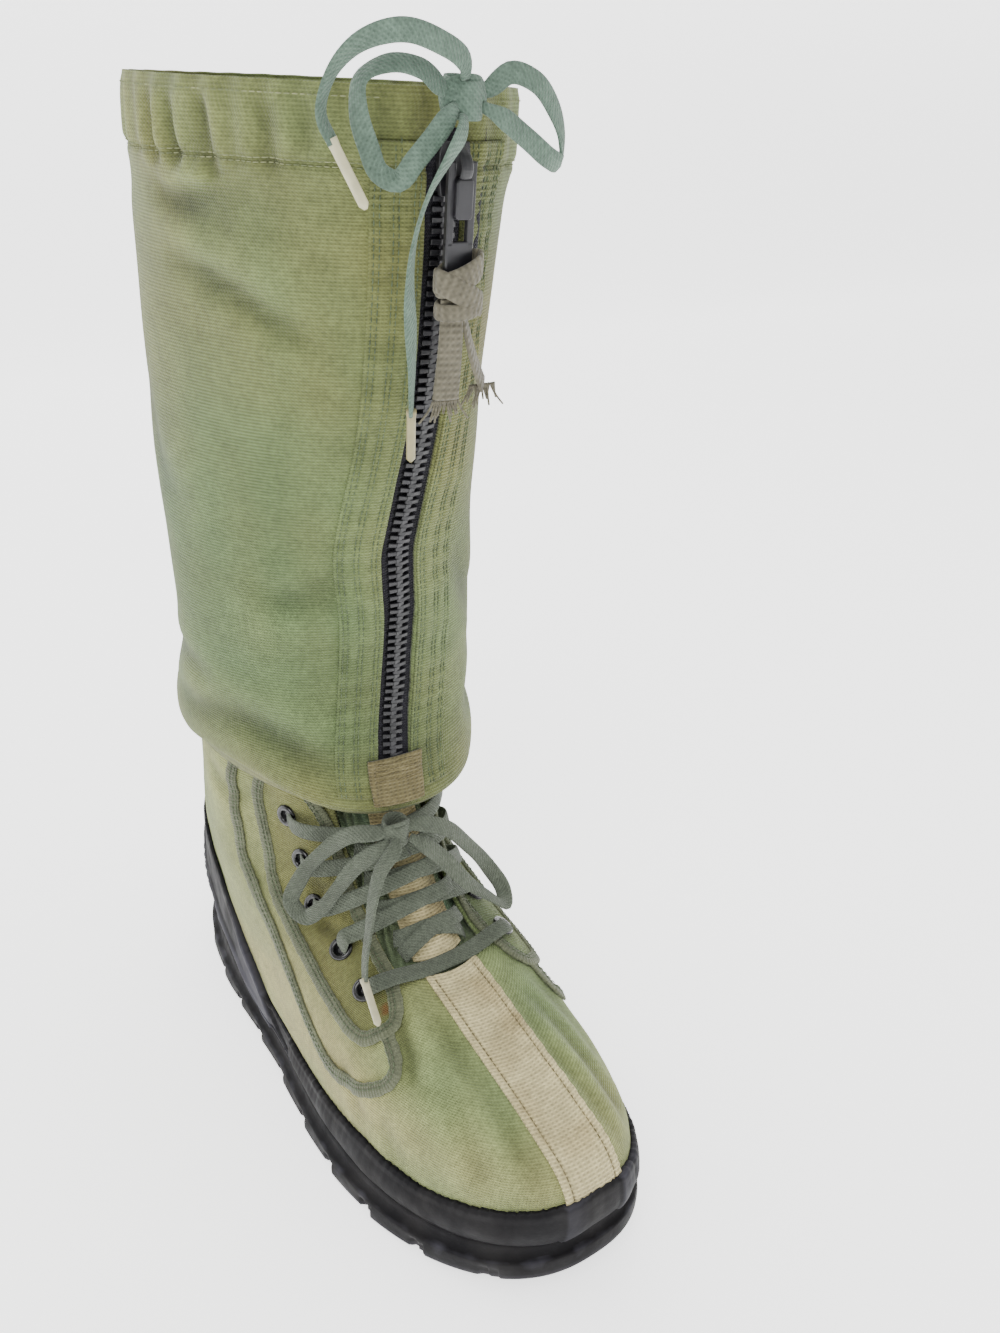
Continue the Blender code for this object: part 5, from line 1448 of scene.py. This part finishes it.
def lace_route(row, side, extra, count=60):
    """A lace's way over the throat: out of its eyelet, over the panel's edge, down to the tongue and
    either to the other eyelet or in under the other edge."""
    start, start_level, middle_level, end, end_level = row
    arc = np.linspace(-start, end, count)
    level = smooth((-start, 0, end), (start_level, middle_level, end_level), arc)
    s = sizes()
    over = s.panel + 1.0 * MM + s.edge_height + s.lace_thick / 2
    eye = s.panel + 0.6 * MM
    gap = THROAT[0][1]
    low = tongue_lift(0.0, middle_level) + 3.4 * MM + s.lace_thick / 2
    if start > gap:
        stops = [
            (-start, eye), (-start + 6, over + 0.5 * MM), (-gap - 3, over), (-gap + 7, (over + low) / 2),
            (0, low),
        ]
    else:
        stops = [(-start, -1.2 * MM), (-start + 6, low), (0, low)]
    if end > gap:
        stops += [(gap - 7, (over + low) / 2), (gap + 3, over), (end - 6, over + 0.5 * MM), (end, eye)]
    else:
        stops += [(end - 6, low), (end + 4, -1.2 * MM)]
    stops = np.array(stops)
    lift = smooth(stops[:, 0], stops[:, 1], arc)
    u = FOOT.share(side * arc * MM, level)
    return FOOT.offset(u, level, lift + extra), FOOT.normal(u, level)


def make_laces():
    """Bars and crossings of one flat lace, from eyelet to eyelet over the tongue."""
    s = sizes()
    for name, row in LACE_BARS.items():
        route, facing = lace_route(row, 1, 0.0, 90)
        points, faces, uv = ribbon_parts(route, facing, s.lace_width, s.lace_thick)
        make_piece(name.replace("bar", "run"), points, faces, "lace", "lace", uv=uv, replaces=(name,))
    for number, row in enumerate(LACE_CROSSES, 1):
        parts = []
        for side, extra in ((-1, 0.0), (1, s.lace_thick * 0.9)):
            route, facing = lace_route(row, side, extra)
            parts.append(ribbon_parts(route, facing, s.lace_width, s.lace_thick))
        points, faces, uv = joined(parts)
        make_piece(
            f"lace_crossing_{number}", points, faces, "lace", "lace", uv=uv,
            replaces=(f"lace_cross_{number}",),
        )


def wrap_band(centre, half, tilt, width, thick, count=40):
    """A ribbon wound once round a knot: an ellipse in a tilted plane, open end under its start."""
    angle = np.linspace(0, 2 * math.pi * 1.04, count)
    ring = np.stack([np.cos(angle) * half[0], np.sin(angle) * half[1], np.sin(angle) * tilt], 1)
    ring *= np.linspace(1.0, 0.97, count)[:, None]
    facing = unit(ring * (1, 1, 0) + 1e-9)
    return ribbon_parts(np.array(centre) * MM + ring, facing, width, thick)


def make_bow(routes, knot_at, width, thick, finish_name, slot, inside, prefix, knot_size):
    """A bow: loops and ends as free cords along their routes, and the knot wound round them."""
    knot = np.array(knot_at) * MM
    wide, deep, tall = knot_size
    parts = [
        wrap_band(knot_at, (wide * 0.36, deep * 0.5), tall * 0.10, tall * 0.92, thick * 1.3),
        wrap_band(knot_at, (wide * 0.48, deep * 0.40), -tall * 0.26, tall * 0.55, thick * 1.2),
    ]
    points, faces, uv = joined(parts)
    knot_piece = make_piece(
        f"{prefix}_bow_knot", points, faces, finish_name, slot, uv=uv, replaces=(f"{prefix}_knot",)
    )
    first = True
    for name, route in routes.items():
        points = np.array(route) * MM
        ends = [points[0] + unit(knot - points[0]) * KNOT_REACH]
        closed = name not in AGLETS
        last = [points[-1] + unit(knot - points[-1]) * KNOT_REACH] if closed else []
        route = even_route(np.concatenate([ends, points, last] if closed else [ends, points]), BOW_STEP)
        facing = turned(route, unit(route - np.array(inside) * MM), TWISTS[name])
        run = np.arange(len(route)) * BOW_STEP
        far = fade(run[::-1], 0, 9 * MM) if closed else 0.55 + 0.45 * fade(run[::-1], 0, 5 * MM)
        pinch = fade(run, 0, 9 * MM) * far
        points, faces, uv = ribbon_parts(
            route, facing, width * (0.5 + 0.5 * pinch), thick * (1.6 - 0.6 * pinch)
        )
        piece = make_piece(
            name.replace("_", "_bow_", 1), points, faces, finish_name, slot, uv=uv, replaces=(name,)
        )
        run = float(np.linalg.norm(np.diff(route, axis=0), axis=1).sum())
        with_pieces = [knot_piece] if first else []
        if name in AGLETS:
            with_pieces.append(make_aglet(name, route[-1]))
        first = False


def make_aglet(name, last):
    """The tip of a cord: a slim rounded bar from the cord's end, pinched where it grips."""
    node_name, tip = AGLETS[name]
    along = unit(np.array(tip) * MM - last)
    t = np.linspace(0, 1, 16)
    route = last - along * 1.5 * MM + along * (AGLET_LENGTH + 2 * MM) * t[:, None]
    nose = np.sqrt(np.clip(1 - ((t - 0.93) / 0.075).clip(0, 1) ** 2, 0.05, 1))
    size = AGLET_WIDTH * (1.15 - 0.15 * fade(t, 0.0, 0.15)) * nose
    facing = np.repeat(unit(np.cross(along, (1, 0, 0.2)))[None], 16, 0)
    points, faces, uv = ribbon_parts(route, facing, size, size * 0.85)
    tip_finish = "olive_aglet" if name == "cord_end_medial" else "aglet"
    return make_piece(
        node_name.replace("aglet", "tip"), points, faces, tip_finish, "aglet", uv=uv,
        replaces=(node_name,),
    )


# Zip


def zip_arc(level):
    """Shift of the zip's line from the shaft's centre line, at a level."""
    return np.interp(level, *np.array(ZIP_LINE).T) * MM


def zip_line(start, end, count, out):
    """Points, directions along and out of the zip's line on the creased shaft."""
    level = np.linspace(start, end, count)
    kernel = np.ones(9) / 9
    arc = zip_arc(np.linspace(start - 0.02, end + 0.02, count + 8))
    arc = np.convolve(arc, kernel, "valid")
    u = SHAFT.share(arc, level)
    line = SHAFT.offset(u, level, SHAFT.relief(u, level) * 0.5 + out)
    return line, unit(np.gradient(line, axis=0)), SHAFT.normal(u, level)


def make_zip():
    """The zip's tape inside the slit and its two rows of moulded teeth, each tooth a rounded block
    with a head that reaches between the heads of the other row."""
    s = sizes()
    line, along, out = zip_line(*ZIP_LEVELS, 160, -2.2 * MM)
    across = unit(np.cross(along, out))
    x = np.linspace(-1, 1, 26)
    half = ZIP_SLIT / 2 + ZIP_TAPE_LAP
    bead = 0.5 * MM * np.exp(-(((np.abs(x) * half - 5.6 * MM) / (0.9 * MM)) ** 2))
    outer = line[:, None] + across[:, None] * (x * half)[None, :, None]
    outer = outer + out[:, None] * bead[None, :, None]
    inner = outer - out[:, None] * 1.0 * MM
    wall(
        "woven_zip_tape", outer, inner, "zip", "zip_tape", replaces=("zip_tape",)
    )
    line, along, out = zip_line(ZIP_LEVELS[0] + 0.012, SLIDER_LEVEL - 0.01, 600, -1.7 * MM)
    run = distance_along(line)
    block = np.array([
        (-4.6, -0.95, 0), (-1.0, -0.95, 0), (-1.0, 0.95, 0), (-4.6, 0.95, 0),
        (-4.6, -0.95, 1.3), (-1.0, -0.75, 2.1), (-1.0, 0.75, 2.1), (-4.6, 0.95, 1.3),
    ])
    head = np.array([
        (-1.4, -1.25, 0), (1.5, -1.1, 0), (1.5, 1.1, 0), (-1.4, 1.25, 0),
        (-1.4, -1.05, 2.3), (1.5, -0.75, 1.7), (1.5, 0.75, 1.7), (-1.4, 1.05, 2.3),
    ])
    box = np.array([(3, 2, 1, 0), (4, 5, 6, 7), (0, 1, 5, 4), (1, 2, 6, 5), (2, 3, 7, 6), (3, 0, 4, 7)])
    points, faces, start = [], [], 0
    for side in (-1, 1):
        at = np.arange(s.tooth_pitch * (0.5 + 0.25 * side), run[-1], s.tooth_pitch)
        middle, up, forward = (at_distance(at, run, values) for values in (line, along, out))
        up, forward = unit(up), unit(forward)
        sideways = unit(np.cross(up, forward)) * -side
        for shape in (block, head):
            shape = shape * MM
            body = (
                middle[:, None] + sideways[:, None] * shape[None, :, :1] + up[:, None] * shape[None, :, 1:2]
                + forward[:, None] * shape[None, :, 2:]
            )
            points.append(body.reshape(-1, 3))
            quads = box if side < 0 else box[:, ::-1]
            faces.append((quads[None] + 8 * np.arange(len(at))[:, None, None]).reshape(-1, 4) + start)
            start += len(at) * 8
    teeth = make_piece(
        "moulded_zip_teeth", np.concatenate(points), faces, "plastic", "zip_plastic",
        replaces=("zip_chain",),
    )
    soften(teeth, 0.25 * MM)


def soften(obj, width, segments=2):
    """Bevel an object's edges and shade its faces flat."""
    bevel = obj.modifiers.new("edges", "BEVEL")
    bevel.width = width
    bevel.segments = segments
    bevel.limit_method = "ANGLE"
    obj.data.shade_flat()


def make_facings():
    """Canvas strips sewn down beside the zip, each with three pairs of stitch rows and a puckered
    inner edge."""
    levels = np.linspace(*FACING_LEVELS, 190)[:, None]
    line = np.linspace(*FACING_LEVELS, 300)
    rows = []
    for side, word in ((-1, "lateral"), (1, "medial")):
        edge = ZIP_SLIT / 2 + 0.4 * MM
        x = np.linspace(0, 1, 30)[None, :]
        share = x if side > 0 else x[:, ::-1]
        arcs = smooth_zip(levels) + side * (edge + FACING_WIDTH * share)
        u = SHAFT.share(arcs, levels)
        relief = SHAFT.relief(u, levels)
        rows_at = np.array((1.6, 3.4, 8.4, 10.2, 14.6, 16.4)) * MM
        distance = np.abs(FACING_WIDTH * share[..., None] - rows_at).min(-1)
        groove_depth = 0.35 * MM * np.exp(-((distance / (0.6 * MM)) ** 2))
        pucker = 0.22 * MM * np.sin(levels * 210 + 3 * np.sin(levels * 37)) * fade(share, 0.0, 0.3)
        outer = SHAFT.offset(u, levels, relief + 0.95 * MM - groove_depth + pucker)
        inner = SHAFT.offset(u, levels, relief + 0.1 * MM)
        wall(
            f"zip_facing_{word}", outer, inner, "duck", "canvas",
            fold=shade_of(relief + pucker - groove_depth), replaces=(f"facing_{word}",),
        )
        for at in rows_at:
            rows.append(stitch_row(SHAFT, smooth_zip(line) + side * (edge + at), line, 0.72 * MM))
    make_stitches("zip_facing_stitches", rows, "thread", "canvas")


def smooth_zip(level):
    """The zip's line as a smooth curve."""
    rows = np.array(ZIP_LINE)
    return smooth(rows[:, 0], rows[:, 1], level) * MM


def make_patch():
    """The tan patch at the zip's foot, with four wavy stitch rows in its upper half."""
    levels = np.linspace(*PATCH_LEVELS, 60)[:, None]
    x = np.linspace(-1, 1, 40)[None, :]
    arcs = smooth_zip(levels) + PATCH_WIDTH / 2 * x * (1 + 0.08 * fade(levels, 0.16, 0.28))
    u = SHAFT.share(arcs, levels)
    relief = SHAFT.relief(u, levels)
    buckle = 0.6 * MM * ripple(SHAFT.point(u, levels), 13 * MM, 14)
    folded = 0.7 * MM * np.exp(-(((x + 0.86) / 0.07) ** 2))
    outer = SHAFT.offset(u, levels, relief + 2.2 * MM + buckle + folded)
    inner = SHAFT.offset(u, levels, relief + 0.9 * MM + buckle * 0.5)
    # The patch takes a darker copy of the webbing: brown soiling and painted shade.
    wall(
        "zip_foot_patch", outer, inner, "soiled_shaded", "webbing",
        fold=shade_of(buckle * 1.5), replaces=("zip_patch",),
    )
    t = np.linspace(-0.92, 0.92, 60)
    rows = []
    for number, level in enumerate((0.262, 0.252, 0.242, 0.231)):
        wavy = level + 0.0016 * np.sin(t * 5 + number)
        arc = smooth_zip(wavy) + PATCH_WIDTH / 2 * t
        u = SHAFT.share(arc, wavy)
        lift = 2.35 * MM + 0.6 * MM * ripple(SHAFT.point(u, wavy), 13 * MM, 14)
        rows.append(stitch_row(SHAFT, arc, wavy, lift, 2.4 * MM))
    make_stitches("zip_patch_stitches", rows, "pale_thread", "webbing")


def crown():
    """The slider's crown: where the pull turns, with the directions up the zip and out of it."""
    u = SHAFT.share(zip_arc(SLIDER_LEVEL), SLIDER_LEVEL)
    up = unit((SHAFT.point(u, SLIDER_LEVEL + 0.02) - SHAFT.point(u, SLIDER_LEVEL - 0.02)) * (0, 1, 1))
    return SHAFT.point(u, SLIDER_LEVEL), up, np.cross((1, 0, 0), up)


def plate(origin, axes, outline, widths, low, high):
    """A flat plate: half widths at stations along its length, between two heights in millimetres."""
    right, up, out = axes
    stations, widths = np.array(outline), np.array(widths)
    corners = [
        origin + up * stations[:, None] + right * (side * widths)[:, None] + out * height * MM
        for side, height in ((-1, low), (1, low), (1, high), (-1, high))
    ]
    points = np.stack(corners, 1).reshape(-1, 3)
    last = 4 * (len(stations) - 1)
    caps = [np.array([[3, 2, 1, 0]]), last + np.arange(4)[None]]
    return points, [band_quads(len(stations), 4), *caps], np.zeros((len(points), 2))


def shaped_plates(origin, axes, rows):
    """Flat plates from rows of millimetres: shift sideways, stations up the length, half widths
    there, and the heights of the two faces."""
    return [
        plate(origin + axes[0] * shift * MM, axes, np.array(at) * MM, np.array(half) * MM, low, high)
        for shift, at, half, low, high in rows
    ]


def make_pull():
    """Slider, its hinged tab with a slot, and the cotton tape tied below it."""
    base, up, out = crown()
    right = np.array((1.0, 0, 0))
    plates = [
        (0, (-8, -5, 0, 5, 8), (4.6, 5.2, 5.75, 5.75, 5.2), 0.0, 2.2),
        (0, (-5, -2, 2, 5), (2.4, 3.0, 3.0, 2.4), 2.0, SLIDER_THICK / MM - 1.2),
    ]
    body = shaped_plates(base + SLIDER_SEAT * out, (right, up, out), plates)
    arch = np.array(((7.0, 2.5), (6.4, 6.0), (4.0, 9.4), (1.0, 10.6), (-1.6, 9.6), (-2.8, 7.0))) * MM
    route = even_route(base + up * arch[:, :1] + out * arch[:, 1:], 0.8 * MM)
    facing = turned(route, np.repeat(out[None], len(route), 0), (0, 0))
    body.append(ribbon_parts(route, facing, 4.4 * MM, 1.7 * MM))
    points, faces, uv = joined(body)
    slider = make_piece(
        "zip_slider_body", points, faces, "plastic", "zip_plastic", uv=uv, replaces=("zip_slider",)
    )
    soften(slider, 0.7 * MM, 3)
    pivot = base + 1.6 * MM * up + (SLIDER_SEAT + SLIDER_THICK + 1.8 * MM) * out
    rail = (1.3, 1.3, 1.3)
    plates = [
        (-3.9, (1.4, -12, -24), rail, -1.2, 1.2),
        (3.9, (1.4, -12, -24), rail, -1.2, 1.2),
        (0, (-3.6, -4.6, -14.6, -15.6), (2.6, 3.1, 3.1, 2.6), -2.6, 3.0),
        (0, (-22.5, -27, -39, -41.5, -42), (5.2, 5.2, 4.8, 4.2, 3.2), -1.2, 1.2),
    ]
    points, faces, uv = joined(shaped_plates(pivot, (right, up, out), plates))
    tab = make_piece(
        "zip_pull_tab", points, faces, "plastic", "zip_plastic", PULL, uv=uv, replaces=("zip_tab",)
    )
    soften(tab, 0.6 * MM, 3)
    make_pull_tape(pivot, up, out)


def make_pull_tape(pivot, up, out):
    """The tape of the pull: three turns wound as a knot below the tab, two tails and their fringe.
    A turn is an ellipse in a tilted plane, and a tail leans with its length to the power 1.6."""
    right = np.array((1.0, 0, 0))
    top = pivot - up * 28 * MM
    parts = []
    turns = (
        (0.45, (7.6, 5.2), 4.5, 8.0), (-0.5, (8.2, 5.6), 10.5, 8.0), (0.12, (7.4, 5.6), 15.5, 5.6),
    )
    for tilt, half, drop, wide in turns:
        angle = np.linspace(0, 2 * math.pi * 1.05, 56)
        ring = (
            right * (np.cos(angle) * half[0] * MM)[:, None] + out * (np.sin(angle) * half[1] * MM)[:, None]
            + up * (np.cos(angle) * half[0] * tilt * MM)[:, None]
        )
        centre = top - up * drop * MM + right * 1.0 * MM
        facing = unit(right * (np.cos(angle) / half[0])[:, None] + out * (np.sin(angle) / half[1])[:, None])
        parts.append(ribbon_parts(centre + ring, facing, wide * MM, 1.9 * MM))
    for sideways, drop_end, lean, forward, twist in ((-2.2, 46, -1, 1.4, -0.1), (3.6, 43, 12, -1.6, 1.3)):
        t = np.linspace(0, 1, 40)
        x = sideways + (lean - sideways * 0.3) * t**1.6
        route = top - up * ((12 + (drop_end - 12) * t) * MM)[:, None] + right * (x * MM)[:, None]
        route = route + out * ((forward + 0.6 * np.sin(t * 4)) * MM)[:, None]
        facing = np.repeat(unit(out + right * twist)[None], len(t), 0)
        parts.append(ribbon_parts(route, facing, (8.2 + 2.0 * t) * MM, 1.7 * MM))
        parts += fringe(route[-1], -up, right, out, 10 * MM, int(100 * (1 + sideways)))
    points, faces, uv = joined(parts)
    make_piece(
        "knotted_pull_tape", points, faces, "tape", "cotton_tape", PULL, uv=uv,
        replaces=("pull_tape",),
    )


def fringe(end, down, right, out, width, seed):
    """Loose yarns at a tape's cut end: short bent strands, each with its own lean and length."""
    rng = np.random.default_rng(abs(seed))
    strands = []
    for x in np.linspace(-0.5, 0.5, 15):
        reach = (4.5 + 3.5 * rng.random()) * MM
        lean = x * 0.9 + 0.5 * (rng.random() - 0.5)
        lift = 0.8 * (rng.random() - 0.35)
        t = np.linspace(0, 1, 6)[:, None]
        route = end + right * x * width + (down * t + right * lean * t**1.5 + out * lift * t**1.5) * reach
        thin = 0.85 * MM * np.linspace(1, 0.6, 6)
        strands.append(ribbon_parts(route, np.repeat(out[None], 6, 0), thin, 0.8 * MM, 6))
    return strands


def make_hem_stitches():
    """The double stitch row at the foot of the hem channel and the row at its lip."""
    rows = []
    for level in (HEM_LEVEL - 0.004, HEM_LEVEL + 0.004, HEM_LIP_LEVEL):
        for low, high in ((-0.985, -0.1), (0.1, 0.985)):
            u = np.linspace(low, high, 420)
            rows.append(stitch_row(SHAFT, SHAFT.arc_at(u, level), 0 * u + level, 0.05 * MM))
    make_stitches("hem_stitches", rows, "hem_thread", "canvas")


def make_label():
    """A small blank tape sewn inside the back of the collar."""
    level = np.linspace(0.935, 0.985, 24)[:, None]
    u = LABEL_PLACE + np.linspace(-1, 1, 36)[None, :] * 0.055 + 0 * level
    level = level + 0 * u
    relief = SHAFT.relief(u, level)
    out = relief - sizes().wall
    outer = SHAFT.offset(u, level, out - 0.9 * MM)
    inner = SHAFT.offset(u, level, out - 0.1 * MM)
    wall(
        "blank_collar_tape", inner, outer, "tape", "cotton_tape", replaces=("collar_label",),
        uv=flat_uv(outer),
    )


# Stage


def make_stage():
    """A pale seamless floor and soft lights."""
    world = bpy.data.worlds.new("soft studio")
    bpy.context.scene.world = world
    world.use_nodes = True
    background = world.node_tree.nodes["Background"]
    background.inputs["Color"].default_value = (1.0, 1.0, 1.0, 1)
    background.inputs["Strength"].default_value = 1.0
    span, turn_at, radius, steps = 3.0, 1.6, 0.8, 16
    angle = np.linspace(0, math.pi / 2, steps)
    y = np.concatenate([[-span], turn_at + radius * np.sin(angle), [turn_at + radius]])
    z = np.concatenate([[0], radius - radius * np.cos(angle), [span]])
    floor_z = -0.0002
    x = np.linspace(-4 * span, 4 * span, 3)
    grid = np.stack(np.broadcast_arrays(x[None, :], y[:, None], z[:, None] + floor_z), -1)
    mesh = bpy.data.meshes.new("paper_sweep")
    i, j = np.mgrid[: len(y) - 1, :2]
    quads = np.stack([i * 3 + j, i * 3 + j + 1, (i + 1) * 3 + j + 1, (i + 1) * 3 + j], -1).reshape(-1, 4)
    mesh.from_pydata(grid.reshape(-1, 3).tolist(), [], quads.tolist())
    mesh.shade_smooth()
    floor = bpy.data.objects.new("paper_sweep", mesh)
    bpy.context.scene.collection.objects.link(floor)
    paper, _, shader = new_finish("matt white paper")
    shader.inputs["Base Color"].default_value = paint("#f4f4f4")
    shader.inputs["Emission Color"].default_value = (1, 1, 1, 1)
    shader.inputs["Emission Strength"].default_value = 1.6
    shader.inputs["Roughness"].default_value = 0.9
    mesh.materials.append(paper)
    for name, place, aim, size, power in (
        ("key_light", (-0.9, -0.9, 1.7), (0, 0, 0.2), 1.1, 21),
        ("fill_light", (1.3, -0.9, 1.0), (0, 0, 0.2), 1.2, 6),
        ("top_light", (0.2, 0.5, 1.9), (0, 0, 0.2), 1.2, 11),
    ):
        light = bpy.data.lights.new(name, "AREA")
        light.shape, light.size, light.energy = "SQUARE", size, power
        obj = bpy.data.objects.new(name, light)
        bpy.context.scene.collection.objects.link(obj)
        back = unit(np.array(place) - np.array(aim))
        place_with_axes(obj, place, *axes_from(back))


def axes_from(back):
    """Right and up directions for something that looks along -back, kept level."""
    right = unit(np.cross((0, 0, 1), back))
    return right, np.cross(back, right), back


def place_with_axes(obj, place, right, up, back):
    """Put a light or camera at a place with its three axes."""
    matrix = np.eye(4)
    matrix[:3, 0], matrix[:3, 1], matrix[:3, 2], matrix[:3, 3] = right, up, back, place
    obj.matrix_world = Matrix(matrix.tolist())


# The camera: turn, height and roll in degrees, and its place in millimetres from a point on the
# boot's axis: distance back, and shifts to the right and up in its own plane.
CAMERA_TURN, CAMERA_RISE, CAMERA_ROLL = -35.4, 26.0, -1.2
CAMERA_TARGET, CAMERA_BACK, CAMERA_RIGHT, CAMERA_UP = (0, 0, 200), 485.3, 54.1, 10.2
LENS, SENSOR = 30.44, 36.0


def make_camera():
    """The camera of the photograph."""
    a, e, r = np.radians((CAMERA_TURN, CAMERA_RISE, CAMERA_ROLL))
    back = np.array((np.sin(a) * np.cos(e), -np.cos(a) * np.cos(e), np.sin(e)))
    right = np.array((np.cos(a), np.sin(a), 0))
    up = np.cross(back, right)
    place = np.array(CAMERA_TARGET) + back * CAMERA_BACK + right * CAMERA_RIGHT + up * CAMERA_UP
    camera = bpy.data.cameras.new("photo_camera")
    camera.sensor_fit, camera.sensor_height, camera.lens = "VERTICAL", SENSOR, LENS
    camera.clip_start, camera.clip_end = 0.01, 20
    obj = bpy.data.objects.new("photo_camera", camera)
    bpy.context.scene.collection.objects.link(obj)
    turned_right = np.cos(r) * right - np.sin(r) * up
    turned_up = np.sin(r) * right + np.cos(r) * up
    place_with_axes(obj, place * MM, turned_right, turned_up, back)
    bpy.context.scene.camera = obj


class BOOT_OT_stage(bpy.types.Operator):
    """Floor, lights and camera"""

    bl_idname = "boot.stage"
    bl_label = "Stage"

    def execute(self, context):
        make_stage()
        make_camera()
        return {"FINISHED"}


class BOOT_OT_cords(bpy.types.Operator):
    """Bow of the lace and bow of the drawstring"""

    bl_idname = "boot.cords"
    bl_label = "Bows"

    def execute(self, context):
        s = context.scene.boot_sizes
        make_bow(
            LACE_ROUTES, LACE_KNOT_AT, s.lace_width, s.lace_thick, "lace", "lace", (0, 40, 60), "lace",
            (14 * MM, 10 * MM, 11 * MM),
        )
        make_bow(
            CORD_ROUTES, CORD_KNOT_AT, s.cord_width, s.cord_thick, "drawstring", "drawstring",
            (2, 60, 410), "cord", (15 * MM, 11 * MM, 12 * MM),
        )
        return {"FINISHED"}


class BOOT_OT_rubber(bpy.types.Operator):
    """Lugged sole, rand and insole"""

    bl_idname = "boot.rubber"
    bl_label = "Rubber"

    def execute(self, context):
        make_sole()
        make_rand()
        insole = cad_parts["insole"]
        insole.data.materials.clear()
        insole.data.materials.append(finish("felt"))
        return {"FINISHED"}


class BOOT_OT_foot(bpy.types.Operator):
    """Canvas foot with its panels, bindings and webbing"""

    bl_idname = "boot.foot"
    bl_label = "Foot"

    def execute(self, context):
        make_foot_canvas()
        make_panels()
        make_toe_webbing()
        return {"FINISHED"}


class BOOT_OT_tongue(bpy.types.Operator):
    """Gathered tongue with its webbing"""

    bl_idname = "boot.tongue"
    bl_label = "Tongue"

    def execute(self, context):
        make_tongue()
        return {"FINISHED"}


class BOOT_OT_laces(bpy.types.Operator):
    """Eyelets and the lace between them"""

    bl_idname = "boot.laces"
    bl_label = "Eyelets and lace"

    def execute(self, context):
        make_eyelets()
        make_laces()
        return {"FINISHED"}


class BOOT_OT_shaft(bpy.types.Operator):
    """Canvas leg with its hem and label"""

    bl_idname = "boot.shaft"
    bl_label = "Leg"

    def execute(self, context):
        make_shaft()
        make_hem_stitches()
        make_label()
        return {"FINISHED"}


class BOOT_OT_zip(bpy.types.Operator):
    """Zip with its facings, patch and pull"""

    bl_idname = "boot.zip"
    bl_label = "Zip"

    def execute(self, context):
        make_zip()
        make_facings()
        make_patch()
        make_pull()
        return {"FINISHED"}


class BOOT_PT_panel(bpy.types.Panel):
    """Sizes, colours and steps of the boot"""

    bl_label = "Boot"
    bl_idname = "BOOT_PT_panel"
    bl_space_type = "VIEW_3D"
    bl_region_type = "UI"
    bl_category = "Boot"

    def draw(self, context):
        for operator in OPERATORS:
            self.layout.operator(operator.bl_idname)
        for group in (context.scene.boot_sizes, context.scene.boot_colours):
            for name in group.__annotations__:
                self.layout.prop(group, name)


OPERATORS = (
    BOOT_OT_stage, BOOT_OT_cords, BOOT_OT_rubber, BOOT_OT_foot, BOOT_OT_tongue, BOOT_OT_laces,
    BOOT_OT_shaft, BOOT_OT_zip,
)
CLASSES = (BootSizes, BootColours, *OPERATORS, BOOT_PT_panel)


def register():
    for cls in CLASSES:
        bpy.utils.register_class(cls)
    bpy.types.Scene.boot_sizes = PointerProperty(type=BootSizes)
    bpy.types.Scene.boot_colours = PointerProperty(type=BootColours)


def unregister():
    del bpy.types.Scene.boot_colours
    del bpy.types.Scene.boot_sizes
    for cls in reversed(CLASSES):
        bpy.utils.unregister_class(cls)


def main():
    """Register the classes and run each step."""
    register()
    for operator in OPERATORS:
        group, name = operator.bl_idname.split(".")
        getattr(getattr(bpy.ops, group), name)()


if __name__ == "__main__":
    main()
